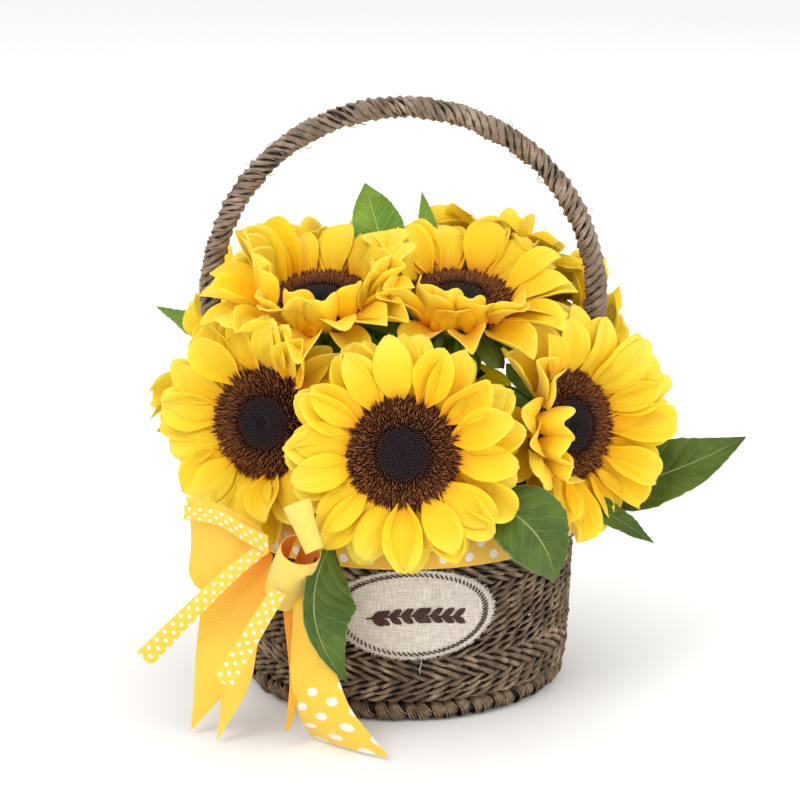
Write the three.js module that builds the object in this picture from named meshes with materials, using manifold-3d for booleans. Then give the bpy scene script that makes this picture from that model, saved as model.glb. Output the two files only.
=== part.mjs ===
// A gift basket of cut sunflowers, in millimetres, +Z up, front towards -Y.
// The origin is the middle of the basket's underside, on the surface it stands on.
import * as THREE from 'three';
import { mergeVertices } from 'three/addons/utils/BufferGeometryUtils.js';
import Module from 'manifold-3d';

const wasm = await Module();
wasm.setup();

// Clearances and mesh steps
const GAP = 0.3;
const CARVE_GAP = 0.5;
const MERGE_STEP = 1e-4;
const ROUND_STEPS = 32;
const TRIM_STEP = 0.5;

// Basket
const FOOT = { radius: 81.6, tube: 6 };
const BASE = { radius: 74.8, height: 8 };
const WALL = { bottom: 12.4, top: 83.7, lowRadius: 88.2, highRadius: 91.8, thickness: 6 };
const RIM = { radius: 90, tube: 3.9, height: 88 };
const LINER = { lowRadius: 62, highRadius: 66, bottom: 8.4, top: 84, thickness: 1.2 };
const FOAM = { lowRadius: 60.2, highRadius: 64.2, top: 92, segments: 28 };

// Hoop handle: a half circle on two legs that lean in and go down inside the wall
const HOOP = { radius: 101, middle: 205, rope: 7, sides: 8, steps: 44, arcs: 16, room: 2 };
const LEG = [[98, 172], [89, 134], [80.5, 100], [77.7, 84], [74.4, 13]];
const LASHING = { x: 76.7, height: 66, rise: 12, thickness: 2.6, reach: 6.5, slack: 0.6, arcs: 6 };

// Flower head, measured along and out from its own axis
const DISC = { radius: 28, underRadius: 25, flatRadius: 17, rise: 2.5, edge: 0.5, depth: 6, segments: 18 };
const COLLAR = {
  inner: 29.4,
  notch: 53,
  tip: 61,
  petals: 14,
  baseHeight: -3.5,
  crown: 5,
  bend: 0.75 * Math.PI,
  thick: 4,
  thin: 2,
};
const CUP = { radius: 22, shoulder: 17.6, neck: 5, top: -6.4, middle: -11.4, bottom: -20, segments: 16 };
const STEM = { radius: 3.8, sides: 7, steps: 10, straight: 14, foot: 32, spread: 0.42, overFoam: 4, inCup: 4 };

// Each flower: where the middle of its disc is, how far it turns to +X from the front, how far it looks up
const FLOWERS = [
  { name: 'front', at: [0, -98, 148], turn: 0, tilt: 14 },
  { name: 'left', at: [-71, -62, 154], turn: -26, tilt: 10 },
  { name: 'right', at: [87, -45, 148], turn: 40, tilt: 12 },
  { name: 'upper_left', at: [-44, -32, 211], turn: -14, tilt: 70 },
  { name: 'upper_right', at: [29, -24, 210], turn: 6, tilt: 70 },
  { name: 'back_right', at: [104, 45, 163], turn: 88, tilt: 22 },
  { name: 'back_left', at: [-100, 45, 163], turn: -88, tilt: 22 },
  { name: 'back_middle', at: [2, 96, 150], turn: 180, tilt: 14 },
  { name: 'back_upper_right', at: [52, 56, 204], turn: 150, tilt: 46 },
  { name: 'back_upper_left', at: [-42, 56, 196], turn: -150, tilt: 46 },
];

// Each leaf: stalk end, middle and tip of its midrib, width across, and the way its upper face looks
const LEAVES = [
  {
    name: 'right_large',
    rib: [[96, -10, 98], [146, -13, 112], [181, -10, 132]],
    width: 36,
    face: [-0.3, -0.75, 0.6],
  },
  {
    name: 'right_narrow',
    rib: [[90, -50, 112], [112, -47, 98], [131, -40, 83]],
    width: 13,
    face: [0.3, -0.8, 0.5],
  },
  {
    name: 'front_right',
    rib: [[43, -88, 121], [73, -111, 114], [77, -82, 75]],
    width: 39,
    face: [0.3, -0.9, 0.35],
  },
  {
    name: 'front_left',
    rib: [[-37, -102, 98], [-57, -143, 79], [-28, -124, 37]],
    width: 40,
    face: [0.7, -1, 0.05],
  },
  {
    name: 'top',
    rib: [[-6, 0, 226], [-9, 12, 246], [-22, 22, 261]],
    width: 34,
    face: [0.1, -0.9, 0.4],
  },
  {
    name: 'top_sliver',
    rib: [[16, 12, 222], [13, 22, 240], [10, 29, 256]],
    width: 10,
    face: [0, -0.9, 0.3],
  },
  {
    name: 'left_pale',
    rib: [[-84, 22, 168], [-110, 31, 182], [-133, 40, 191]],
    width: 18,
    face: [0, -0.5, 0.85],
  },
  {
    name: 'back_right',
    rib: [[60, 62, 116], [88, 92, 112], [108, 118, 92]],
    width: 32,
    face: [0.4, 0.5, 0.75],
  },
  {
    name: 'back_left',
    rib: [[-56, 66, 116], [-82, 96, 114], [-102, 122, 98]],
    width: 30,
    face: [-0.4, 0.5, 0.75],
  },
  {
    name: 'back_hanging',
    rib: [[18, 88, 108], [26, 116, 84], [20, 108, 46]],
    width: 30,
    face: [0.1, 1, 0.2],
  },
];
const LEAF = { steps: 7, thickness: 1.6, fold: 0.12, tipWidth: 1, shape: 0.8 };

// Ribbons: two widths, each piece given by its left and right edges from one end to the other
const RIBBON_THICKNESS = 1.6;
const BAND = { low: [95.6, 86], middle: [95.4, 90], high: [93.6, 110], thickness: 1.2 };
const KNOT = { at: [-48, -124, 118], radius: 6.2, halfLength: 14.5, lean: 22 };
const LOOP = {
  at: [-54, -113, 90],
  axis: [0.34, -0.56, 1],
  side: 8.6,
  depth: 8,
  flare: 0.1,
  width: 36,
  sweep: 5.6,
  steps: 16,
};
const RIBBONS = [
  {
    name: 'bow_loop_left',
    steps: 18,
    edges: [
      [[-72, -103, 105], [-72, -103, 110]], [[-88, -100, 92], [-89, -99, 121]],
      [[-101, -96, 81], [-103, -94, 124]], [[-108, -92, 84], [-109, -89, 123]],
      [[-105, -86, 89], [-106, -85, 121]], [[-90, -88, 94], [-90, -87, 118]],
      [[-74, -95, 103], [-74, -95, 109]],
    ],
  },
  {
    name: 'wide_tail_left',
    steps: 12,
    edges: [
      [[-70, -104, 101], [-65, -107, 98]], [[-84, -103, 89], [-67, -109, 86]],
      [[-99, -102, 74], [-69, -111, 73]], [[-104, -101, 51], [-73, -113, 52]],
      [[-106, -100, 24], [-78, -114, 30]], [[-108, -100, 2], [-94, -113, 2]],
    ],
  },
  {
    name: 'wide_tail_centre',
    steps: 12,
    edges: [
      [[-56, -110, 83], [-50, -112, 85]], [[-55, -112, 69], [-46, -117, 73]],
      [[-56, -114, 51], [-40, -120, 57]], [[-56, -116, 33], [-33, -124, 41]],
      [[-52, -114, 15], [-25, -131, 24]], [[-46, -108, 2], [-7, -138, 3]],
    ],
  },
  {
    name: 'thin_tail_centre',
    steps: 8,
    edges: [
      [[-61, -107, 80], [-55, -108, 79]], [[-59, -109, 59], [-53, -110, 59]],
      [[-57, -113, 37], [-52, -113, 36]], [[-58, -119, 19], [-55, -119, 18]],
      [[-59, -123, 11], [-58, -123, 10]],
    ],
  },
  {
    name: 'narrow_loop_left',
    steps: 8,
    edges: [
      [[-98, -99, 122], [-101, -99, 116]], [[-81, -105, 119], [-83, -105, 112]],
      [[-69, -109, 113], [-72, -110, 106]], [[-59, -113, 108], [-62, -113, 100]],
    ],
  },
  {
    name: 'narrow_tail_left',
    steps: 8,
    edges: [
      [[-69, -110, 107], [-66, -112, 102]], [[-87, -112, 94], [-82, -114, 89]],
      [[-109, -112, 73], [-103, -113, 67]], [[-134, -108, 47], [-126, -110, 41]],
    ],
  },
  {
    name: 'narrow_tail_centre',
    steps: 8,
    edges: [
      [[-65, -122, 86], [-58, -124, 83]], [[-76, -125, 70], [-68, -127, 66]],
      [[-94, -128, 42], [-85, -130, 36]],
    ],
  },
];

// Oval linen patch on the wall, half sizes along and up
const PATCH = {
  x: 5,
  z: 60,
  halfLength: 42,
  halfHeight: 23.5,
  tipHeight: 4,
  lift: 1,
  thickness: 1,
  steps: 12,
  columns: 2,
};

const COLOURS = {
  rope: 0x6b5a48, petal: 0xf9c31b, disc: 0x3a1d12, green: 0x5c7a35, leaf: 0x3f6b2b,
  ribbon: 0xf8bf3c, linen: 0xd8cbb8, foam: 0x2f5a34, liner: 0x2b2b2b,
};

// --- Solids -------------------------------------------------------------------------------------

/** A library solid of a closed geometry. */
function solidOf(geometry) {
  const bare = merged(geometry);
  const triVerts = new Uint32Array(bare.index.array);
  const vertProperties = new Float32Array(bare.attributes.position.array);
  return new wasm.Manifold(new wasm.Mesh({ numProp: 3, vertProperties, triVerts }));
}

/** The geometry with only positions, and with its shared vertices joined. */
function merged(geometry) {
  const bare = geometry.clone();
  bare.deleteAttribute('normal');
  bare.deleteAttribute('uv');
  return mergeVertices(bare, MERGE_STEP);
}

/** The largest body of a library solid, as a geometry. */
function geometryOf(solid) {
  const bodies = solid.decompose().sort((a, b) => b.volume() - a.volume());
  const mesh = bodies[0].getMesh();
  const geometry = new THREE.BufferGeometry();
  geometry.setAttribute('position', new THREE.BufferAttribute(new Float32Array(mesh.vertProperties), 3));
  geometry.setIndex(new THREE.BufferAttribute(new Uint32Array(mesh.triVerts), 1));
  return geometry;
}

/** The geometry with every vertex moved out along its normal. */
function grown(geometry, by) {
  const bigger = merged(geometry);
  bigger.computeVertexNormals();
  const place = bigger.attributes.position;
  const normal = bigger.attributes.normal;
  for (let i = 0; i < place.count; i += 1) {
    place.setXYZ(
      i,
      place.getX(i) + by * normal.getX(i),
      place.getY(i) + by * normal.getY(i),
      place.getZ(i) + by * normal.getZ(i),
    );
  }
  return bigger;
}

/** The geometry with room made in it for each of the others that its box meets. */
function carved(geometry, others) {
  geometry.computeBoundingBox();
  let solid = solidOf(geometry);
  for (const other of others) {
    const bigger = grown(other, CARVE_GAP);
    bigger.computeBoundingBox();
    if (bigger.boundingBox.intersectsBox(geometry.boundingBox)) {
      solid = solid.subtract(solidOf(bigger));
    }
  }
  return geometryOf(solid);
}

/** Turns a closed indexed geometry's faces outwards. */
function facingOut(geometry) {
  const place = geometry.attributes.position;
  const index = geometry.index.array;
  const [a, b, c] = [new THREE.Vector3(), new THREE.Vector3(), new THREE.Vector3()];
  let volume = 0;
  for (let i = 0; i < index.length; i += 3) {
    a.fromBufferAttribute(place, index[i]);
    b.fromBufferAttribute(place, index[i + 1]);
    c.fromBufferAttribute(place, index[i + 2]);
    volume += a.dot(b.cross(c));
  }
  if (volume < 0) {
    index.reverse();
  }
  return geometry;
}

/** A closed solid round a grid of points, thick across the grid; it may wrap round in its columns. */
function slab(rows, thicknessAt, wraps = false) {
  const across = rows[0].length;
  const last = rows.length - 1;
  const columns = wraps ? across : across - 1;
  const column = (j) => (wraps ? (j + across) % across : Math.min(Math.max(j, 0), across - 1));
  const point = (i, j) => rows[Math.min(Math.max(i, 0), last)][column(j)];
  const positions = [];
  for (const side of [0.5, -0.5]) {
    for (let i = 0; i <= last; i += 1) {
      for (let j = 0; j < across; j += 1) {
        const along = point(i + 1, j).clone().sub(point(i - 1, j));
        const over = point(i, j + 1).clone().sub(point(i, j - 1));
        const out = along.cross(over).setLength(side * thicknessAt(i / last));
        positions.push(...point(i, j).clone().add(out).toArray());
      }
    }
  }
  const top = (i, j) => i * across + column(j);
  const under = (i, j) => rows.length * across + top(i, j);
  const index = [];
  const quad = (a, b, c, d) => index.push(a, b, c, a, c, d);
  for (let j = 0; j < columns; j += 1) {
    for (let i = 0; i < last; i += 1) {
      quad(top(i, j), top(i + 1, j), top(i + 1, j + 1), top(i, j + 1));
      quad(under(i, j), under(i, j + 1), under(i + 1, j + 1), under(i + 1, j));
    }
    quad(top(0, j), top(0, j + 1), under(0, j + 1), under(0, j));
    quad(top(last, j + 1), top(last, j), under(last, j), under(last, j + 1));
  }
  for (let i = 0; i < last && !wraps; i += 1) {
    quad(top(i + 1, 0), top(i, 0), under(i, 0), under(i + 1, 0));
    quad(top(i, columns), top(i + 1, columns), under(i + 1, columns), under(i, columns));
  }
  const geometry = new THREE.BufferGeometry();
  geometry.setAttribute('position', new THREE.Float32BufferAttribute(positions, 3));
  geometry.setIndex(new THREE.BufferAttribute(new Uint32Array(index), 1));
  return facingOut(geometry);
}

/** A ring or disc turned about +Z from [radius, height] corners. */
function turned(corners, segments = ROUND_STEPS, closed = true) {
  const points = corners.map(([radius, height]) => new THREE.Vector2(radius, height));
  if (closed) {
    points.push(points[0].clone());
  }
  const lathe = merged(new THREE.LatheGeometry(points, segments));
  lathe.rotateX(Math.PI / 2);
  return facingOut(lathe);
}

/** A round bar of a few sides along a curve. */
function bar(points, radius, sides, steps) {
  const section = new THREE.Shape();
  for (let i = 0; i < sides; i += 1) {
    const angle = (2 * Math.PI * i) / sides;
    section[i ? 'lineTo' : 'moveTo'](radius * Math.cos(angle), radius * Math.sin(angle));
  }
  const extrudePath = new THREE.CatmullRomCurve3(points, false, 'centripetal');
  return new THREE.ExtrudeGeometry(section, { steps, extrudePath, bevelEnabled: false });
}

// --- Basket -------------------------------------------------------------------------------------

/** A braid ring with a flat top and bottom. */
function braidRing(radius, height, tube) {
  const corners = [];
  for (let i = 0; i < 8; i += 1) {
    const angle = ((2 * i + 1) * Math.PI) / 8;
    const reach = tube / Math.cos(Math.PI / 8);
    corners.push([radius + reach * Math.cos(angle), height + reach * Math.sin(angle)]);
  }
  return turned(corners);
}

/** A straight-sided ring that widens upwards. */
function shell(low, high, bottom, top, thickness) {
  return turned([[low, bottom], [high, top], [high - thickness, top], [low - thickness, bottom]]);
}

/** The woven base, flat underneath. */
function basketBase() {
  return turned([[0, 0], [BASE.radius, 0], [BASE.radius, BASE.height], [0, BASE.height]], ROUND_STEPS, false);
}

/** The thin plastic bowl that keeps the foam's water off the basket. */
function liner() {
  const { lowRadius, highRadius, bottom, top, thickness } = LINER;
  return turned([
    [0, bottom], [lowRadius, bottom], [highRadius, top], [highRadius - thickness, top],
    [lowRadius - thickness, bottom + thickness], [0, bottom + thickness],
  ], ROUND_STEPS, false);
}

/** The wet foam block, with a hole for each stem. */
function foam(stems) {
  const bottom = LINER.bottom + LINER.thickness + GAP;
  const corners = [[0, bottom], [FOAM.lowRadius, bottom], [FOAM.highRadius, FOAM.top], [0, FOAM.top]];
  const block = turned(corners, FOAM.segments, false);
  return carved(block, stems);
}

/** Points along the middle of the hoop, from the right leg's foot over the top to the left one's. */
function hoopPoints() {
  const arc = [];
  for (let i = 0; i <= HOOP.arcs; i += 1) {
    const angle = (Math.PI * i) / HOOP.arcs;
    arc.push([HOOP.radius * Math.cos(angle), HOOP.middle + HOOP.radius * Math.sin(angle)]);
  }
  const right = [...LEG].reverse();
  const left = LEG.map(([x, z]) => [-x, z]);
  return [...right, ...arc, ...left].map(([x, z]) => new THREE.Vector3(x, 0, z));
}

/** Twine that passes round the inner side of a leg and ties it to the wall. */
function lashing(side) {
  const reach = HOOP.rope + GAP + LASHING.thickness / 2 + LASHING.slack;
  const path = [[LASHING.x + LASHING.reach, reach]];
  for (let i = 0; i <= LASHING.arcs; i += 1) {
    const angle = Math.PI / 2 + (Math.PI * i) / LASHING.arcs;
    path.push([LASHING.x + reach * Math.cos(angle), reach * Math.sin(angle)]);
  }
  path.push([LASHING.x + LASHING.reach, -reach]);
  const rows = path.map(([x, y]) => [0, LASHING.rise].map(
    (up) => new THREE.Vector3(side * x, y, LASHING.height - LASHING.rise / 2 + up),
  ));
  return slab(rows, () => LASHING.thickness);
}

// --- Flowers ------------------------------------------------------------------------------------

/** The matrix that puts a flower head, built about +Z, in its place. */
function headMatrix(flower) {
  const turn = THREE.MathUtils.degToRad(flower.turn);
  const tilt = THREE.MathUtils.degToRad(flower.tilt);
  const axis = new THREE.Vector3(
    Math.sin(turn) * Math.cos(tilt),
    -Math.cos(turn) * Math.cos(tilt),
    Math.sin(tilt),
  );
  const side = new THREE.Vector3(Math.cos(turn), Math.sin(turn), 0);
  const up = axis.clone().cross(side);
  return new THREE.Matrix4().makeBasis(side, up, axis).setPosition(...flower.at);
}

/** The planes that keep a flower's petals on its own side of each neighbour and of the handle. */
function keepOuts(flower) {
  const here = new THREE.Vector3(...flower.at);
  const planes = [];
  for (const other of FLOWERS) {
    if (other !== flower) {
      const away = new THREE.Vector3(...other.at).sub(here);
      planes.push({ normal: away.clone().normalize(), reach: away.length() / 2 - GAP });
    }
  }
  for (const point of hoopPoints()) {
    const away = point.sub(here);
    planes.push({ normal: away.clone().normalize(), reach: away.length() - HOOP.rope - HOOP.room });
  }
  return planes.map(({ normal, reach }) => new THREE.Plane(normal, -reach - normal.dot(here)));
}

/** The height of the petals' middle above the head's own plane, at a distance from its axis. */
function petalHeight(distance) {
  const share = (distance - COLLAR.inner) / (COLLAR.tip - COLLAR.inner);
  return COLLAR.baseHeight + COLLAR.crown * Math.sin(COLLAR.bend * Math.min(share, 1));
}

/** The ring of petals as one shallow scalloped dish, cut back where a neighbour stands. */
function petalRing(flower) {
  const matrix = headMatrix(flower);
  const planes = keepOuts(flower);
  const columns = 2 * COLLAR.petals;
  const shares = [0, 0.5, 1];
  const at = (angle, distance) => new THREE.Vector3(
    distance * Math.cos(angle),
    distance * Math.sin(angle),
    petalHeight(distance),
  );
  const clear = (angle, outer) => shares.every((share) => {
    const middle = at(angle, COLLAR.inner + share * (outer - COLLAR.inner));
    return [-COLLAR.thick / 2, COLLAR.thick / 2].every((lift) => {
      const corner = middle.clone();
      corner.z += lift;
      corner.applyMatrix4(matrix);
      return planes.every((plane) => plane.distanceToPoint(corner) < 0);
    });
  });
  const rows = shares.map(() => []);
  for (let j = 0; j < columns; j += 1) {
    const angle = (2 * Math.PI * j) / columns;
    let outer = j % 2 ? COLLAR.notch : COLLAR.tip;
    while (!clear(angle, outer) && outer > COLLAR.inner + COLLAR.thin) {
      outer -= TRIM_STEP;
    }
    shares.forEach((share, i) => rows[i].push(at(angle, COLLAR.inner + share * (outer - COLLAR.inner))));
  }
  return slab(rows, (share) => THREE.MathUtils.lerp(COLLAR.thick, COLLAR.thin, share), true);
}

/** The seed disc, a low dome. */
function seedDisc() {
  return turned([
    [0, -DISC.depth], [DISC.underRadius, -DISC.depth], [DISC.radius, -DISC.depth / 2],
    [DISC.radius, DISC.edge], [DISC.flatRadius, DISC.rise], [0, DISC.rise],
  ], DISC.segments, false);
}

/** The green receptacle behind the disc and the stem that runs from it down into the foam. */
function stem(flower) {
  const matrix = headMatrix(flower);
  const cup = turned([
    [0, CUP.bottom], [CUP.neck, CUP.bottom], [CUP.shoulder, CUP.middle],
    [CUP.radius, CUP.top], [0, CUP.top],
  ], CUP.segments, false).applyMatrix4(matrix);
  const along = (distance) => new THREE.Vector3(0, 0, distance).applyMatrix4(matrix);
  const foot = new THREE.Vector3(flower.at[0] * STEM.spread, flower.at[1] * STEM.spread, STEM.foot);
  const foamTop = foot.clone().setZ(FOAM.top + STEM.overFoam);
  const bend = along(CUP.bottom - STEM.straight);
  const points = [along(CUP.bottom + STEM.inCup), bend, foamTop, foot];
  const stalk = bar(points, STEM.radius, STEM.sides, STEM.steps);
  return geometryOf(solidOf(cup).add(solidOf(stalk)));
}

// --- Leaves, ribbons and patch ------------------------------------------------------------------

/** A leaf blade, folded a little along its midrib and pointed at both ends. */
function leafBlade({ rib, width, face }) {
  const curve = new THREE.QuadraticBezierCurve3(...rib.map((point) => new THREE.Vector3(...point)));
  const look = new THREE.Vector3(...face).normalize();
  const rows = [];
  for (let i = 0; i <= LEAF.steps; i += 1) {
    const share = i / LEAF.steps;
    const middle = curve.getPoint(share);
    const over = curve.getTangent(share).cross(look).normalize();
    const half = Math.max((width / 2) * Math.sin(Math.PI * share ** LEAF.shape), LEAF.tipWidth / 2);
    const lift = look.clone().multiplyScalar(half * LEAF.fold * 2);
    rows.push([
      middle.clone().addScaledVector(over, -half).add(lift),
      middle,
      middle.clone().addScaledVector(over, half).add(lift),
    ]);
  }
  return slab(rows, () => LEAF.thickness);
}

/** A strip of ribbon between two smooth edges. */
function ribbonStrip({ edges, steps }) {
  const [left, right] = [0, 1].map((side) => {
    const points = edges.map((pair) => new THREE.Vector3(...pair[side]));
    return new THREE.CatmullRomCurve3(points, false, 'centripetal');
  });
  const rows = [];
  for (let i = 0; i <= steps; i += 1) {
    rows.push([left.getPoint(i / steps), right.getPoint(i / steps)]);
  }
  return slab(rows, () => RIBBON_THICKNESS);
}

/** The loop of the bow that stands out to the front, rolled about an upright axis and open to the back. */
function frontLoop() {
  const axis = new THREE.Vector3(...LOOP.axis).normalize();
  const side = new THREE.Vector3(1, 0, 0).addScaledVector(axis, -axis.x).normalize();
  const depth = axis.clone().cross(side);
  const rows = [];
  for (let i = 0; i <= LOOP.steps; i += 1) {
    const angle = (i / LOOP.steps - 0.5) * LOOP.sweep - Math.PI / 2;
    rows.push([-0.5, 0.5].map((end) => {
      const spread = 1 + 2 * end * LOOP.flare;
      return new THREE.Vector3(...LOOP.at)
        .addScaledVector(axis, end * LOOP.width)
        .addScaledVector(side, spread * LOOP.side * Math.cos(angle))
        .addScaledVector(depth, spread * LOOP.depth * Math.sin(angle));
    }));
  }
  return slab(rows, () => RIBBON_THICKNESS);
}

/** The rolled ribbon that gathers the bow, leaning to the right going down. */
function knot() {
  const roll = merged(new THREE.SphereGeometry(1, 12, 8));
  roll.scale(KNOT.radius, KNOT.radius, KNOT.halfLength);
  roll.rotateY(THREE.MathUtils.degToRad(-KNOT.lean));
  roll.translate(...KNOT.at);
  return facingOut(roll);
}

/** The ribbon that goes all round the basket's rim. */
function rimBand() {
  const corners = [BAND.low, BAND.middle, BAND.high];
  const inner = corners.map(([radius, height]) => [radius - BAND.thickness, height]).reverse();
  return turned([...corners, ...inner]);
}

/** The radius of the wall's outer face at a height. */
function wallRadius(height) {
  const share = (height - WALL.bottom) / (WALL.top - WALL.bottom);
  return THREE.MathUtils.lerp(WALL.lowRadius, WALL.highRadius, share);
}

/** The oval patch, bent to the wall, in upright rows from one end to the other. */
function patch() {
  const rows = [];
  for (let i = 0; i <= PATCH.steps; i += 1) {
    const along = -Math.cos((Math.PI * i) / PATCH.steps);
    const half = Math.max(PATCH.halfHeight * Math.sqrt(1 - along * along), PATCH.tipHeight / 2);
    const row = [];
    for (let j = -PATCH.columns; j <= PATCH.columns; j += 1) {
      const height = PATCH.z + (half * j) / PATCH.columns;
      const reach = wallRadius(height) + PATCH.lift;
      const turn = (PATCH.x + PATCH.halfLength * along) / reach;
      row.push(new THREE.Vector3(reach * Math.sin(turn), -reach * Math.cos(turn), height));
    }
    rows.push(row);
  }
  return slab(rows, () => PATCH.thickness);
}

// --- Assembly -----------------------------------------------------------------------------------

const basket = new THREE.Group();

/** Adds a named piece with its own material. */
function add(name, geometry, colour, roughness = 0.8) {
  const material = new THREE.MeshStandardMaterial({ color: COLOURS[colour], roughness, metalness: 0 });
  const mesh = new THREE.Mesh(geometry, material);
  mesh.name = name;
  basket.add(mesh);
  return mesh;
}

const stems = FLOWERS.map(stem);
const wovenParts = {
  foot_braid: braidRing(FOOT.radius, FOOT.tube, FOOT.tube),
  basket_base: basketBase(),
  basket_wall: shell(WALL.lowRadius, WALL.highRadius, WALL.bottom, WALL.top, WALL.thickness),
  rim_braid: braidRing(RIM.radius, RIM.height, RIM.tube),
  handle: bar(hoopPoints(), HOOP.rope, HOOP.sides, HOOP.steps),
};
const placed = [...Object.values(wovenParts), ...stems];

Object.entries(wovenParts).forEach(([name, geometry]) => add(name, geometry, 'rope'));
add('handle_lashing_left', lashing(-1), 'rope');
add('handle_lashing_right', lashing(1), 'rope');
add('liner', liner(), 'liner', 0.5);
add('floral_foam', foam(stems), 'foam');

FLOWERS.forEach((flower, i) => {
  const matrix = headMatrix(flower);
  const disc = seedDisc();
  const petals = petalRing(flower);
  add(`${flower.name}_flower_disc`, disc, 'disc').applyMatrix4(matrix);
  add(`${flower.name}_flower_petals`, petals, 'petal', 0.55).applyMatrix4(matrix);
  add(`${flower.name}_flower_stem`, stems[i], 'green', 0.7);
  placed.push(disc.clone().applyMatrix4(matrix), petals.clone().applyMatrix4(matrix));
});

const bandGeometry = rimBand();
const knotGeometry = knot();
add('ribbon_band', bandGeometry, 'ribbon', 0.5);
add('bow_knot', knotGeometry, 'ribbon', 0.5);
placed.push(bandGeometry, knotGeometry);

const strips = [['bow_loop_front', frontLoop()], ...RIBBONS.map((strip) => [strip.name, ribbonStrip(strip)])];
for (const [name, whole] of strips) {
  add(name, carved(whole, placed), 'ribbon', 0.5);
  placed.push(whole);
}

for (const leaf of LEAVES) {
  const blade = leafBlade(leaf);
  add(`${leaf.name}_leaf`, carved(blade, placed), 'leaf', 0.5);
  placed.push(blade);
}

add('linen_patch', carved(patch(), placed), 'linen', 0.9);

export default basket;
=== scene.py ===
"""A gift basket of cut sunflowers: the finished look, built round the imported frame.

Lengths are in metres, +Z is up, the front looks towards -Y and the origin lies under the middle
of the basket.
"""
import logging
import math
import random
from dataclasses import dataclass
from enum import Enum
from typing import Callable, Iterable, Sequence

import bmesh
import bpy
from mathutils import Matrix, Vector, noise


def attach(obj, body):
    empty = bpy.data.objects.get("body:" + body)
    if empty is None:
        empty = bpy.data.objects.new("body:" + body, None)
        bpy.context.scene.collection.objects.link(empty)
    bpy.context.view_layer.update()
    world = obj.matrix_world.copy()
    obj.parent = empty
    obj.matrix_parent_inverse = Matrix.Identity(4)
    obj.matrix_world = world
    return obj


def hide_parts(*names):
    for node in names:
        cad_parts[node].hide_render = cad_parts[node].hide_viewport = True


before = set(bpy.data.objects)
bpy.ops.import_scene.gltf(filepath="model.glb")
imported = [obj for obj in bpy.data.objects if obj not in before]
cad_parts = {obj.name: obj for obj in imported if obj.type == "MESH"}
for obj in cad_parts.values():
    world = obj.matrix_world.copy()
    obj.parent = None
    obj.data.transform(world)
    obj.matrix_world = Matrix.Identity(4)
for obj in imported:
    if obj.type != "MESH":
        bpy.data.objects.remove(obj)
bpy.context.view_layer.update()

LOG = logging.getLogger("sunflower_basket")
MM = 0.001
TURN = 2 * math.pi
NEAR_ZERO = 1e-6
SHEET_THICKNESS = 0.0004
FOLD_ANGLE = 70.0
BODY = "root"
Colour = tuple[float, float, float]
Triple = tuple[float, float, float]


class Slot(str, Enum):
    """The record's material slots, by name."""

    SEAGRASS = "seagrass"
    HANDLE = "handle_rope"
    FOAM = "wet_foam"
    DISC = "seed_disc"
    PETAL = "petal"
    STEM = "stem_green"
    YOUNG_LEAF = "leaf_young"
    LEAF = "leaf_green"
    WIDE_RIBBON = "wide_ribbon"
    NARROW_RIBBON = "narrow_ribbon"
    LINEN = "linen"


class Held(str, Enum):
    """What keeps a sheet in its shape."""

    STRETCHED = "stretched"
    FOLDED = "folded"
    HUNG = "hung"


# --- Modelling tools ----------------------------------------------------------------------------


def mm(point: Iterable[float]) -> Vector:
    """A point given in millimetres, in metres."""
    return Vector(point) * MM


def deselect_all() -> None:
    """Leaves object mode with nothing selected."""
    if bpy.context.object and bpy.context.object.mode != "OBJECT":
        bpy.ops.object.mode_set(mode="OBJECT")
    bpy.ops.object.select_all(action="DESELECT")


def between(low: float, high: float, share: float) -> float:
    """The value at a share of the way from low to high."""
    return low + (high - low) * share


def profile(stations: Sequence[tuple[float, float]], share: float) -> float:
    """A value along a row of (share, value) stations.

    Args:
        stations: The stations, in order of their share.
        share: Where to read the value.

    Returns:
        The value there, on the straight line between the two stations beside it.
    """
    for (a, low), (b, high) in zip(stations, stations[1:]):
        if share <= b:
            t = (share - a) / (b - a)
            return between(low, high, t)
    return stations[-1][1]


def smooth_path(points: Sequence[Vector], steps: int) -> list[Vector]:
    """Evenly numbered points on a smooth curve through the given ones.

    Args:
        points: The points that the curve passes through.
        steps: How many spans the result has.

    Returns:
        The steps + 1 points of the curve.
    """
    last = len(points) - 1
    result = []
    for i in range(steps + 1):
        place = last * i / steps
        k = min(int(place), last - 1)
        t = place - k
        p0, p1 = points[max(k - 1, 0)], points[k]
        p2, p3 = points[k + 1], points[min(k + 2, last)]
        result.append(
            0.5 * (2 * p1 + (p2 - p0) * t + (2 * p0 - 5 * p1 + 4 * p2 - p3) * t * t
                   + (3 * p1 - p0 - 3 * p2 + p3) * t ** 3)
        )
    return result


def path_length(points: Sequence[Vector]) -> float:
    """The length of a row of points."""
    return sum((b - a).length for a, b in zip(points, points[1:]))


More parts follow.
